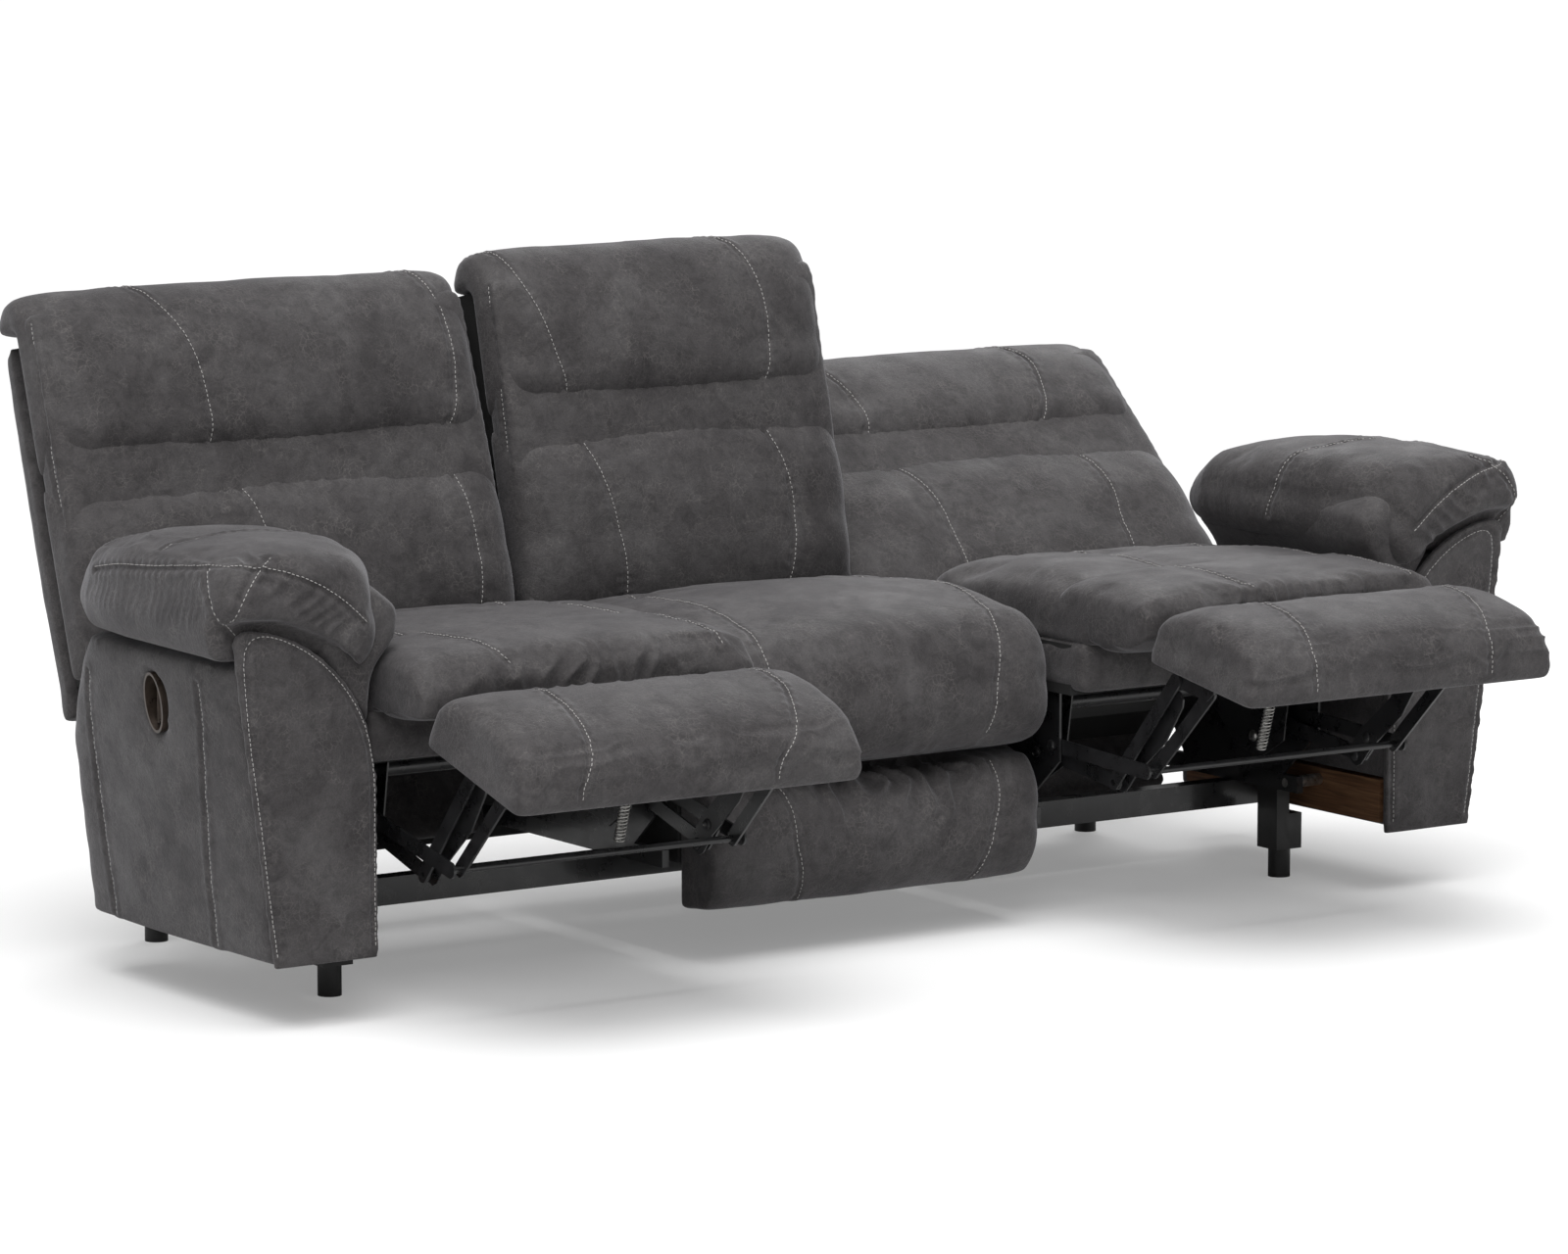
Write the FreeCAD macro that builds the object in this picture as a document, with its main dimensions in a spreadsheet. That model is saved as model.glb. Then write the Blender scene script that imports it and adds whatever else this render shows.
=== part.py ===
import FreeCAD, Part
import math
import os

import Sketcher

# Three-seat reclining sofa, in millimetres.
# X runs to the right as seen from the front, Y to the rear, Z up from the floor.
# The middle seat is fixed. The outer seats each have a footrest on a folding link set,
# a seat carriage that slides forward, and a back that leans over as the carriage slides.
# The left seat stands with its footrest out and its back nearly upright,
# the right seat with its footrest out and its back fully reclined.

Vec = FreeCAD.Vector
Turn = FreeCAD.Rotation
X_AXIS = Vec(1, 0, 0)

doc = FreeCAD.newDocument("RecliningSofa")
sheet = doc.addObject("Spreadsheet::Sheet", "Sizes")

# Driving dimensions: name, value, meaning.
DRIVING = [
    ("arm_front_y", -326, "front plane of the arms"),
    ("arm_inner_x", 885, "inner face of an arm"),
    ("arm_bottom_outer_x", 1047, "outer face of an arm at its bottom edge"),
    ("arm_top_outer_x", 1102, "outer face of an arm at its top edge"),
    ("arm_bottom_z", 90, "bottom edge of an arm above the floor"),
    ("arm_top_z", 505, "top of the arm body, below its pad"),
    ("arm_depth", 546, "depth of the arm body at its bottom"),
    ("arm_top_depth", 447, "depth of the arm body below its pad"),
    ("arm_panel_top_z", 556, "highest point of an arm's front panel"),
    ("arm_panel_inner_z", 405, "where the panel meets its straight inner edge"),
    ("arm_board_height", 290, "board inside an arm from its lower edge"),
    ("arm_panel_thickness", 11.7, "upholstered panel on the front of an arm"),
    ("arm_board_thickness", 18, "board inside an arm"),
    ("arm_rail_height", 65, "wooden rail along the bottom of an arm"),
    ("pad_inner_x", 826, "inner edge of an arm pad"),
    ("pad_outer_x", 1134, "outer edge of an arm pad"),
    ("pad_height", 160, "crown of an arm pad above the arm body"),
    ("pad_depth", 462, "length of an arm pad behind the arm front"),
    ("pad_nose", 24, "how far an arm pad hangs over the arm front"),
    ("seat_centre_x", 595, "centre of an outer seat"),
    ("seat_half_width", 277, "half the width of an outer seat cushion"),
    ("linkage_centre_x", 576, "middle of the side plates of an outer seat"),
    ("middle_half_width", 296, "half the width of the middle seat"),
    ("plate_half_gap", 241, "half the distance between the side plates of a carriage"),
    ("plate_thickness", 4, "steel plates and links"),
    ("layer_gap", 1, "gap between neighbouring links"),
    ("running_gap", 0.05, "radial clearance of a pivot"),
    ("seat_gap", 0.3, "gap between pieces that rest on each other"),
    ("rail_bottom_z", 100, "underside of the cross rails"),
    ("rail_height", 40, "height of a cross rail"),
    ("rail_width", 30, "width of a cross rail"),
    ("rail_wall", 3, "sheet thickness of a cross rail"),
    ("front_rail_offset", 290, "front cross rail behind the arm front"),
    ("rear_rail_offset", 690, "rear cross rail behind the arm front"),
    ("slide_rail_height", 25, "height of a slide rail"),
    ("slide_rail_width", 11.5, "width of a slide rail"),
    ("slide_rail_start", 135, "front end of a slide rail behind the arm front"),
    ("foot_radius", 17, "radius of a foot"),
    ("foot_height", 45, "height of a foot under its block"),
    ("foot_block_size", 48, "side of a foot block"),
    ("foot_x", 842, "foot from the middle of the sofa"),
    ("front_foot_back", 208, "front foot behind the arm front"),
    ("bolt_radius", 4, "bolts that hold the arms"),
    ("lift_pivot_back", 150, "lift link pivot behind the arm front"),
    ("lift_pivot_z", 262, "lift link pivot above the floor"),
    ("lift_length", 165, "lift link between its pivots"),
    ("lift_reach", 222, "lift link pivot to the cross rod"),
    ("lift_open_angle", 182.8, "lift link angle with the footrest fully out"),
    ("lift_swing", 117.2, "lift link travel"),
    ("board_link_length", 184, "board link between its pivots"),
    ("board_link_tail", 40, "board link beyond its lower pivot"),
    ("board_link_open_angle", 131.05, "board link angle with the footrest fully out"),
    ("board_link_swing", -11.95, "board link travel against the seat"),
    ("board_open_slope", 9.5, "slope of the footrest when fully out"),
    ("board_swing", 80.5, "footrest travel against the seat"),
    ("board_pivot_setback", 35, "footrest rear edge to its first pivot"),
    ("board_pivot_drop", 20, "footrest pivots below the board"),
    ("board_pivot_spacing", 70, "first to second footrest pivot"),
    ("rear_control_back", 186.3, "rear control link pivot behind the arm front"),
    ("rear_control_z", 247.2, "rear control link pivot above the floor"),
    ("rear_control_swing", 104.3, "rear control link travel against the seat"),
    ("front_control_swing", -5.5, "front control link travel against the seat"),
    ("left_back_off", 9.46, "left lift link short of fully out"),
    ("link_radius", 11, "half the width of a link"),
    ("rivet_radius", 5, "rivets and the cross rod"),
    ("board_depth", 230, "footrest board from rear to front"),
    ("board_half_width", 273, "half the width of a footrest"),
    ("board_thickness", 12, "footrest board"),
    ("pad_thickness", 88, "footrest pad above the board's lower face"),
    ("back_pivot_back", 506.6, "back pivot behind the arm front, seat closed"),
    ("back_pivot_z", 330, "back pivot above the floor"),
    ("back_pin_radius", 8, "back pivot pin"),
    ("upright_lean", 13, "lean of an upright back"),
    ("back_swing", 34, "travel of a back"),
    ("left_lean", 18, "lean of the left back as it stands"),
    ("right_lean", 47, "lean of the right back as it stands"),
    ("carriage_travel", 45, "travel of a seat carriage"),
    ("left_crease", 392, "left crease between lumbar and head pillow above the pivot"),
    ("middle_crease", 420, "middle crease above the pivot"),
    ("right_crease", 436, "right crease above the pivot"),
    ("frame_top", 620, "top of a back frame above the pivot"),
    ("head_top", 681, "top of a head pillow above the pivot"),
    ("middle_head_top", 688, "top of the middle head pillow above the pivot"),
    ("lumbar_bottom", 102, "bottom of a lumbar pillow above the pivot"),
    ("back_depth", 72, "front face of a back frame behind the pivot line"),
    ("frame_thickness", 56, "thickness of a back frame"),
    ("shell_thickness", 62, "thickness of an outer back panel"),
    ("shell_bottom", 62, "bottom of the wide part of an outer back above the pivot"),
    ("skirt_drop", 165, "outer back skirt below the pivot"),
    ("skirt_half_width", 225, "half the width of an outer back skirt"),
    ("back_inner_x", 302, "inner edge of an outer seat's back"),
    ("back_outer_x", 1034, "outer edge of an outer seat's back"),
    ("box_front", 85, "front face of a seat box behind the arm front"),
    ("box_rear", 490, "rear face of a seat box behind the arm front"),
    ("box_bottom_z", 345, "top of the side plates, where a seat box rests"),
    ("box_height", 75, "height of a seat box"),
    ("cushion_height", 97, "height of a seat cushion at its crown"),
    ("cushion_front", 12, "front of an outer seat cushion behind the arm front"),
    ("tube_radius", 12, "cross tubes of a carriage"),
    ("front_tube_back", 190, "front cross tube behind the arm front"),
    ("front_tube_z", 318, "front cross tube above the floor"),
    ("rear_tube_back", 440, "rear cross tube behind the arm front"),
    ("rear_tube_z", 300, "rear cross tube above the floor"),
    ("middle_panel_bottom_z", 72, "bottom of the middle front panel"),
    ("middle_crease_z", 265, "crease below the middle seat front"),
    ("middle_box_front", 160, "front face of the middle seat box behind the arm front"),
    ("middle_box_top_z", 359.7, "top of the middle seat box"),
    ("cup_back", 247, "handle cup behind the arm front"),
    ("cup_z", 430, "handle cup above the floor"),
    ("cup_half_width", 25, "half the width of a handle cup"),
    ("cup_half_height", 43, "half the height of a handle cup"),
    ("cup_depth", 24, "depth of a handle cup"),
    ("cup_wall", 4, "wall of a handle cup"),
    ("lever_width", 24, "width of a release lever"),
    ("lever_height", 56, "height of a release lever"),
    ("lever_thickness", 5, "thickness of a release lever"),
    ("lever_barrel_radius", 3, "upright barrel that a release lever turns on"),
    ("spring_radius", 7, "middle of the wire to the spring's axis"),
    ("spring_wire_radius", 1.2, "radius of the spring wire"),
    ("spring_pitch", 5.2, "rise of one turn of the spring"),
]

for row, (alias, number, meaning) in enumerate(DRIVING, start=1):
    sheet.set("A%d" % row, str(number))
    sheet.setAlias("A%d" % row, alias)
    sheet.set("B%d" % row, meaning)
doc.recompute()


def size(alias):
    """The value of one driving dimension."""
    return float(sheet.get(alias))


def bound(formula):
    """A formula of driving dimensions with each name pointed at the sheet."""
    words = []
    for word in formula.split():
        bare = word.strip("()")
        if bare in NAMES:
            word = word.replace(bare, "Sizes." + bare)
        words.append(word)
    return " ".join(words)


NAMES = {alias for alias, number, meaning in DRIVING}
SIDES = (("left", -1), ("right", 1))
front_y = size("arm_front_y")
plate = size("plate_thickness")
gap = size("seat_gap")
nodes = []


def keep(item, label):
    """Names a sub-part and lists it for writing."""
    item.Label = label
    nodes.append(item)
    return item


def place(item, x, y, z, axis=X_AXIS, angle=0.0):
    item.Placement = FreeCAD.Placement(Vec(x, y, z), Turn(axis, angle))
    return item


def box(name, length, width, height, x, y, z, angle=0.0):
    """A block whose three sizes are formulas, turned about X by an angle."""
    item = doc.addObject("Part::Box", name)
    item.setExpression("Length", bound(length))
    item.setExpression("Width", bound(width))
    item.setExpression("Height", bound(height))
    return place(item, x, y, z, X_AXIS, angle)


def rod(name, radius, length, x, y, z, axis=Vec(0, 1, 0), angle=90.0):
    """A cylinder whose radius and length are formulas, along X unless turned."""
    item = doc.addObject("Part::Cylinder", name)
    item.setExpression("Radius", bound(radius))
    item.setExpression("Height", bound(length))
    return place(item, x, y, z, axis, angle)


def cut(name, base, tool):
    item = doc.addObject("Part::Cut", name)
    item.Base = base
    item.Tool = tool
    return item


def fuse(name, parts):
    item = doc.addObject("Part::MultiFuse", name)
    item.Shapes = parts
    item.Refine = True
    return item


def group(name, parts):
    """Several separate solids that share one node."""
    item = doc.addObject("Part::Compound", name)
    item.Links = parts
    return item


def solid(name, shape):
    """A sub-part whose shape comes straight from lofts."""
    item = doc.addObject("Part::Feature", name)
    item.Shape = shape
    return item


def origin_plane(body, role):
    for feature in body.Origin.OriginFeatures:
        if feature.Role == role:
            return feature
    raise ValueError("no plane " + role)


def sketch_on(body, name, role):
    sketch = body.newObject("Sketcher::SketchObject", name)
    sketch.AttachmentSupport = [(origin_plane(body, role), "")]
    sketch.MapMode = "FlatFace"
    return sketch


def pad(body, name, sketch, thickness):
    feature = body.newObject("PartDesign::Pad", name)
    feature.Profile = sketch
    feature.setExpression("Length", bound(thickness))
    return feature


def link_body(name, length, bores):
    """A flat link along its own Y from its first pivot, with round ends and bores.

    bores lists (distance formula, radius formula) along the link."""
    body = doc.addObject("PartDesign::Body", name)
    sketch = sketch_on(body, name + "_outline", "YZ_Plane")
    radius = size("link_radius")
    guess = 150.0
    flat = Vec(0, 0, 1)
    sketch.addGeometry(Part.ArcOfCircle(
        Part.Circle(Vec(0, 0, 0), flat, radius), math.pi / 2, 3 * math.pi / 2))
    sketch.addGeometry(Part.ArcOfCircle(
        Part.Circle(Vec(guess, 0, 0), flat, radius), -math.pi / 2, math.pi / 2))
    sketch.addGeometry(Part.LineSegment(Vec(0, radius, 0), Vec(guess, radius, 0)))
    sketch.addGeometry(Part.LineSegment(Vec(0, -radius, 0), Vec(guess, -radius, 0)))
    add = sketch.addConstraint
    add(Sketcher.Constraint("Coincident", 0, 3, -1, 1))
    add(Sketcher.Constraint("PointOnObject", 1, 3, -1))
    add(Sketcher.Constraint("Tangent", 0, 1, 2, 1))
    add(Sketcher.Constraint("Tangent", 2, 2, 1, 2))
    add(Sketcher.Constraint("Tangent", 0, 2, 3, 1))
    add(Sketcher.Constraint("Tangent", 3, 2, 1, 1))
    add(Sketcher.Constraint("Equal", 0, 1))
    index = add(Sketcher.Constraint("Radius", 0, radius))
    sketch.renameConstraint(index, "end_radius")
    sketch.setExpression("Constraints.end_radius", bound("link_radius"))
    index = add(Sketcher.Constraint("DistanceX", 0, 3, 1, 3, guess))
    sketch.renameConstraint(index, "pivot_distance")
    sketch.setExpression("Constraints.pivot_distance", bound(length))
    for number, (distance, bore) in enumerate(bores):
        hole = sketch.addGeometry(Part.Circle(Vec(20.0 * number, 0, 0), flat, 2.0))
        if number == 0:
            add(Sketcher.Constraint("Coincident", hole, 3, -1, 1))
        else:
            add(Sketcher.Constraint("PointOnObject", hole, 3, -1))
            index = add(Sketcher.Constraint("DistanceX", 0, 3, hole, 3, 20.0 * number))
            sketch.renameConstraint(index, "bore_place_%d" % number)
            sketch.setExpression("Constraints.bore_place_%d" % number, bound(distance))
        index = add(Sketcher.Constraint("Radius", hole, 2.0))
        sketch.renameConstraint(index, "bore_radius_%d" % number)
        sketch.setExpression("Constraints.bore_radius_%d" % number, bound(bore))
    pad(body, name + "_pad", sketch, "plate_thickness")
    return body


def polygon_body(name, role, corners, thickness, bores=()):
    """A flat plate with straight edges, and round bores given as (y, z, radius formula)."""
    body = doc.addObject("PartDesign::Body", name)
    sketch = sketch_on(body, name + "_outline", role)
    count = len(corners)
    for number, corner in enumerate(corners):
        end = corners[(number + 1) % count]
        sketch.addGeometry(Part.LineSegment(Vec(*corner, 0), Vec(*end, 0)))
    for number in range(count):
        sketch.addConstraint(
            Sketcher.Constraint("Coincident", number, 2, (number + 1) % count, 1))
    for number, corner in enumerate(corners):
        for kind, along in (("DistanceX", corner[0]), ("DistanceY", corner[1])):
            sketch.addConstraint(Sketcher.Constraint(kind, -1, 1, number, 1, along))
    for number, (along, up, bore) in enumerate(bores):
        hole = sketch.addGeometry(Part.Circle(Vec(along, up, 0), Vec(0, 0, 1), 3.0))
        sketch.addConstraint(Sketcher.Constraint("DistanceX", -1, 1, hole, 3, along))
        sketch.addConstraint(Sketcher.Constraint("DistanceY", -1, 1, hole, 3, up))
        index = sketch.addConstraint(Sketcher.Constraint("Radius", hole, 3.0))
        sketch.renameConstraint(index, "bore_radius_%d" % number)
        sketch.setExpression("Constraints.bore_radius_%d" % number, bound(bore))
    pad(body, name + "_pad", sketch, thickness)
    return body


def closed_outline(steps, put):
    """A closed wire. steps starts with a point; each next step is a point for a line,
    or a middle point and an end point for an arc. put turns (a, b) into a vector."""
    start = steps[0]
    here = start
    edges = []
    for step in list(steps[1:]) + [start]:
        if len(step) == 4:
            edges.append(Part.Arc(put(*here), put(*step[:2]), put(*step[2:])).toShape())
            here = step[2:]
        elif step != here:
            edges.append(Part.LineSegment(put(*here), put(*step)).toShape())
            here = step
    return Part.Wire(edges)


def cushion_stations(x_start, x_end, ends, seams=(0.25, 0.75)):
    """Places along a cushion with its two swells at each: drawn in at both ends,
    pinched at each sewn seam and full between them. ends lists the distance from
    an end with the swell across and upwards there."""
    width = x_end - x_start
    seam_half = 9.0
    seam_pinch = 0.965
    stations = list(ends)
    for share in seams:
        stations += [(share * width - seam_half, 1.0, 1.0),
                     (share * width, seam_pinch, seam_pinch),
                     (share * width + seam_half, 1.0, 1.0)]
    stations += [(0.5 * width, 1.015, 1.015)]
    stations += [(width - along, across, upward) for along, across, upward in ends]
    return [(x_start + along, across, upward) for along, across, upward in sorted(stations)]


def cushion(name, steps, stations, anchor, put, pinned=()):
    """A crowned closed form: one outline repeated across the width, swollen about anchor,
    less so below it. Pinned points touch a frame and stay where they are."""
    below = 0.3
    wires = []
    for x, across, upward in stations:
        def put_here(a, b, x=x, across=across, upward=upward):
            if (a, b) not in pinned:
                a = anchor[0] + (a - anchor[0]) * across
                if b < anchor[1]:
                    upward = 1 + (upward - 1) * below
                b = anchor[1] + (b - anchor[1]) * upward
            return put(x, a, b)
        wires.append(closed_outline(steps, put_here))
    return solid(name, Part.makeLoft(wires, True, True))


PILLOW_ENDS = ((0.0, 0.42, 0.70), (10.0, 0.66, 0.83), (28.0, 0.84, 0.92), (62.0, 0.96, 0.98))
LUMBAR_ENDS = ((0.0, 0.52, 0.86), (10.0, 0.73, 0.93), (28.0, 0.88, 0.97), (62.0, 0.97, 0.99))
SEAT_ENDS = ((0.0, 0.84, 0.76), (12.0, 0.93, 0.90), (45.0, 0.98, 0.97))
FOOTREST_ENDS = ((0.0, 0.86, 0.80), (12.0, 0.94, 0.92), (45.0, 0.985, 0.98))
PANEL_ENDS = ((0.0, 0.80, 0.94), (12.0, 0.92, 0.98), (40.0, 0.98, 1.0))


def seat_frame(shift):
    """Puts (distance behind the arm front, height) of a carriage slid forward by shift."""
    def put(x, back, up):
        return Vec(x, front_y + back - shift, up)
    return put


def back_frame_axes(pivot_y, lean):
    """Puts (forward, up) of a back that leans by an angle about its pivot."""
    sine = math.sin(math.radians(lean))
    cosine = math.cos(math.radians(lean))

    def put(x, forward, up):
        y = pivot_y + up * sine - forward * cosine
        z = size("back_pivot_z") + up * cosine + forward * sine
        return Vec(x, y, z)
    return put


def polar(y, z, length, angle):
    """The point at a length and an angle in the side view, from the +Y axis towards +Z."""
    return (y + length * math.cos(math.radians(angle)), z + length * math.sin(math.radians(angle)))


def angle_between(start, end):
    return math.degrees(math.atan2(end[1] - start[1], end[0] - start[0]))


# Base: two cross rails of folded sheet, slide rails on top, feet on blocks.

def cross_rail(name, y):
    end = size("arm_inner_x") - 1.0
    z = size("rail_bottom_z")
    wall = size("rail_wall")
    length = "2 * ( arm_inner_x - 1 )"
    web = box(name + "_web", length, "rail_wall", "rail_height", -end, y, z)
    low = box(name + "_low", length, "rail_width", "rail_wall", -end, y, z)
    top = box(name + "_top", length, "rail_width", "rail_wall", -end, y,
              z + size("rail_height") - wall)
    parts = [web, low, top]
    for side, sign in SIDES:
        x = end - wall if sign > 0 else -end
        parts.append(box(name + "_tab_" + side, "rail_wall", "rail_width", "rail_height", x, y, z))
    rail = fuse(name + "_sheet", parts)
    hole = rod(name + "_bolt_hole", "bolt_radius + running_gap", length + " + 2",
               -end - 1.0, y + size("rail_width") / 2, z + size("rail_height") / 2)
    return keep(cut(name, rail, hole), name)


rail_rows = (
    ("front", front_y + size("front_rail_offset")),
    ("rear", front_y + size("rear_rail_offset")),
)
rail_top_z = size("rail_bottom_z") + size("rail_height")
slide_rail_top_z = rail_top_z + size("slide_rail_height")

for row_name, rail_y in rail_rows:
    cross_rail(row_name + "_cross_rail", rail_y)

slide_bars = []
spacer_back = 165.0
spacer_z = rail_top_z + size("slide_rail_height") / 2
bolt_head = 4.0
for side, sign in SIDES:
    centre = sign * size("linkage_centre_x")
    for inner in (-1, 1):
        edge = centre + inner * (size("plate_half_gap") + 0.5)
        low_x = edge if inner > 0 else edge - size("slide_rail_width")
        bar = box("slide_bar_%s_%d" % (side, inner + 1), "slide_rail_width",
                  "rear_rail_offset + rail_width - slide_rail_start", "slide_rail_height",
                  low_x, front_y + size("slide_rail_start"), rail_top_z)
        if inner == sign:
            hole = rod("slide_bar_hole_" + side, "bolt_radius + running_gap",
                       "slide_rail_width + 2", low_x - 1, front_y + spacer_back, spacer_z)
            seat = rod("slide_bar_head_seat_" + side, "bolt_radius + 3 + running_gap",
                       "%.2f" % (bolt_head + 0.05), edge if sign > 0 else edge - bolt_head - 0.05,
                       front_y + spacer_back, spacer_z)
            bar = cut("slide_bar_bored_" + side, bar, fuse("slide_bar_holes_" + side, [hole, seat]))
        slide_bars.append(bar)
keep(group("slide_rails", slide_bars), "slide_rails")

blocks = []
feet = []
half_block = size("foot_block_size") / 2
for side, sign in SIDES:
    foot_rows = (("front", front_y + size("front_foot_back")),
                 ("rear", front_y + size("rear_rail_offset") + size("rail_width") / 2))
    for row_name, y in foot_rows:
        tag = "%s_%s" % (row_name, side)
        x = sign * size("foot_x")
        block = box("block_" + tag, "foot_block_size", "foot_block_size",
                    "rail_bottom_z - foot_height", x - half_block, y - half_block,
                    size("foot_height"))
        if row_name == "front":
            neck_x = x - half_block if sign > 0 else x
            neck = box("block_neck_" + tag, "foot_block_size / 2", "foot_block_size",
                       "rail_height", neck_x, y - half_block, size("rail_bottom_z"))
            block = fuse("block_with_neck_" + tag, [block, neck])
        hole = rod("block_hole_" + tag, "5.02", "foot_height + 30.5", x, y, -0.5, X_AXIS, 0)
        blocks.append(cut("block_bored_" + tag, block, hole))
        leg = rod("leg_" + tag, "foot_radius", "foot_height", x, y, 0, X_AXIS, 0)
        stud = rod("stud_" + tag, "5", "foot_height + 30", x, y, 0, X_AXIS, 0)
        feet.append(fuse("foot_" + tag, [leg, stud]))
keep(group("foot_blocks", blocks), "foot_blocks")
keep(group("feet", feet), "feet")


# Arms: a board with a wooden rail, a padded body round it, a front panel and a pad on top.

bolts = []
cups = []
arm_depth = size("arm_depth")
arm_top_depth = size("arm_top_depth")
arm_top_z = size("arm_top_z")
arm_bottom_z = size("arm_bottom_z")
inner_x = size("arm_inner_x")
arm_lean = size("arm_top_outer_x") - size("arm_bottom_outer_x")
cup_tilt = math.degrees(math.atan2(arm_lean, arm_top_z - arm_bottom_z))
board_start = 20.3


def arm_outer_x(z):
    """Outer face of an arm at a height."""
    return size("arm_bottom_outer_x") + arm_lean * (z - arm_bottom_z) / (arm_top_z - arm_bottom_z)


cup_x = arm_outer_x(size("cup_z"))


def arm_section(sign, z, inner, rear):
    """A level outline of an arm body with rounded rear corners."""
    outer = arm_outer_x(z)
    start = size("arm_panel_thickness") + gap
    corner = 34.0
    diagonal = corner * (1 - math.sqrt(0.5))
    bulge = 5.0
    steps = [
        (inner, start), (outer - 10, start),
        (outer, (start + rear) / 2, outer - 10 + bulge, rear - corner),
        (outer - 4 - diagonal, rear - diagonal, outer - corner, rear),
        (inner + corner, rear),
        (inner + diagonal, rear - diagonal, inner, rear - corner),
    ]
    return closed_outline(steps, lambda a, b: Vec(sign * a, front_y + b, z))


def cup_solid(name, sign, half_width, half_height, depth, proud):
    """An oval cylinder square to the outer face of an arm, with its mouth at that face."""
    wire = Part.Wire([Part.Ellipse(Vec(0, 0, 0), half_height, half_width).toShape()])
    shape = Part.Face(wire).extrude(Vec(0, 0, -(depth + proud)))
    shape.translate(Vec(0, 0, proud))
    shape.rotate(Vec(0, 0, 0), Vec(0, 1, 0), 90 + cup_tilt)
    if sign < 0:
        shape = shape.mirror(Vec(0, 0, 0), X_AXIS)
    shape.translate(Vec(sign * cup_x, front_y + size("cup_back"), size("cup_z")))
    return solid(name, shape)


for side, sign in SIDES:
    rail_x = inner_x - 0.7
    board_x = inner_x + 20.0
    board = box("arm_board_" + side, "arm_board_thickness", "arm_depth - 70",
                "arm_board_height",
                board_x if sign > 0 else -board_x - size("arm_board_thickness"),
                front_y + board_start, arm_bottom_z + 15)
    rail = box("arm_rail_" + side, "20.7", "arm_depth - 70", "arm_rail_height",
               rail_x if sign > 0 else -rail_x - 20.7, front_y + board_start, arm_bottom_z + 15)
    frame = fuse("arm_frame_joined_" + side, [board, rail])
    holes = []
    bar_face = size("linkage_centre_x") + size("plate_half_gap") + 0.5
    fixings = (
        ("rail", rail_rows[0][1] + size("rail_width") / 2,
         size("rail_bottom_z") + size("rail_height") / 2, inner_x - 1 - size("rail_wall")),
        ("bar", front_y + spacer_back, spacer_z, bar_face + bolt_head),
    )
    for fixing, y, z, head_x in fixings:
        tag = "%s_%s" % (side, fixing)
        end_x = inner_x + 41
        holes.append(rod("arm_hole_" + tag, "bolt_radius + running_gap",
                         "80", inner_x - 40 if sign > 0 else -inner_x - 40, y, z))
        shank = rod("arm_shank_" + tag, "bolt_radius", "%.2f" % (end_x - head_x + bolt_head),
                    head_x - bolt_head if sign > 0 else -end_x, y, z)
        head = rod("arm_head_" + tag, "bolt_radius + 3", "%.1f" % bolt_head,
                   head_x - bolt_head if sign > 0 else -head_x, y, z)
        pieces = [shank, head]
        if fixing == "bar":
            collar_x = bar_face + size("slide_rail_width")
            collar = rod("arm_collar_" + tag, "bolt_radius + 5", "%.2f" % (rail_x - collar_x),
                         collar_x if sign > 0 else -rail_x, y, z)
            pieces.append(collar)
        bolts.append(fuse("arm_bolt_" + tag, pieces))
    keep(cut("arm_frame_" + side, frame, fuse("arm_holes_" + side, holes)), "arm_frame_" + side)

    levels = ((arm_bottom_z, inner_x, arm_depth), (arm_bottom_z + 255, inner_x, arm_depth - 6),
              (size("arm_panel_inner_z"), inner_x + 8, arm_depth - 30),
              (arm_top_z - 42, inner_x + 42, arm_top_depth + 34),
              (arm_top_z, inner_x + 80, arm_top_depth))
    body = Part.makeLoft([arm_section(sign, *level) for level in levels], True, True)
    slot_start = front_y + board_start - gap
    slot_depth = arm_depth - 70 + 2 * gap
    slot_z = arm_bottom_z - 1
    board_slot = Part.makeBox(
        size("arm_board_thickness") + 2 * gap, slot_depth, size("arm_board_height") + 16 + gap,
        Vec(board_x - gap if sign > 0 else -board_x - size("arm_board_thickness") - gap,
            slot_start, slot_z))
    rail_slot = Part.makeBox(
        24, arm_depth, size("arm_rail_height") + 16 + gap,
        Vec(inner_x - 3 if sign > 0 else -inner_x - 21, front_y - 1, slot_z))
    body = body.cut(board_slot).cut(rail_slot)
    pocket = cup_solid("cup_pocket_" + side, sign, size("cup_half_width") + gap,
                       size("cup_half_height") + gap, size("cup_depth") + size("cup_wall") + gap,
                       20.0)
    body = body.cut(pocket.Shape)
    doc.removeObject(pocket.Name)
    for fixing, y, z, head_x in fixings:
        start = Vec(inner_x - 30 if sign > 0 else -inner_x - 50, y, z)
        body = body.cut(Part.makeCylinder(size("bolt_radius") + 4, 80, start, X_AXIS))
    keep(solid("arm_cover_" + side, body), "arm_cover_" + side)

    outer_cup = cup_solid("cup_outer_" + side, sign, size("cup_half_width"),
                          size("cup_half_height"), size("cup_depth") + size("cup_wall"), 3.0)
    hollow = cup_solid("cup_hollow_" + side, sign, size("cup_half_width") - size("cup_wall"),
                       size("cup_half_height") - size("cup_wall"), size("cup_depth"), 6.0)
    barrel_bore = rod("cup_bore_" + side, "lever_barrel_radius + running_gap", "lever_height + 60",
                      sign * (cup_x - 0.55 * size("cup_depth")),
                      front_y + size("cup_back") + size("lever_width") / 2,
                      size("cup_z") - size("lever_height") / 2 - 30, X_AXIS, 0)
    cups.append(cut("handle_cup_" + side, cut("cup_shell_" + side, outer_cup, hollow),
                    barrel_bore))

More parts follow.
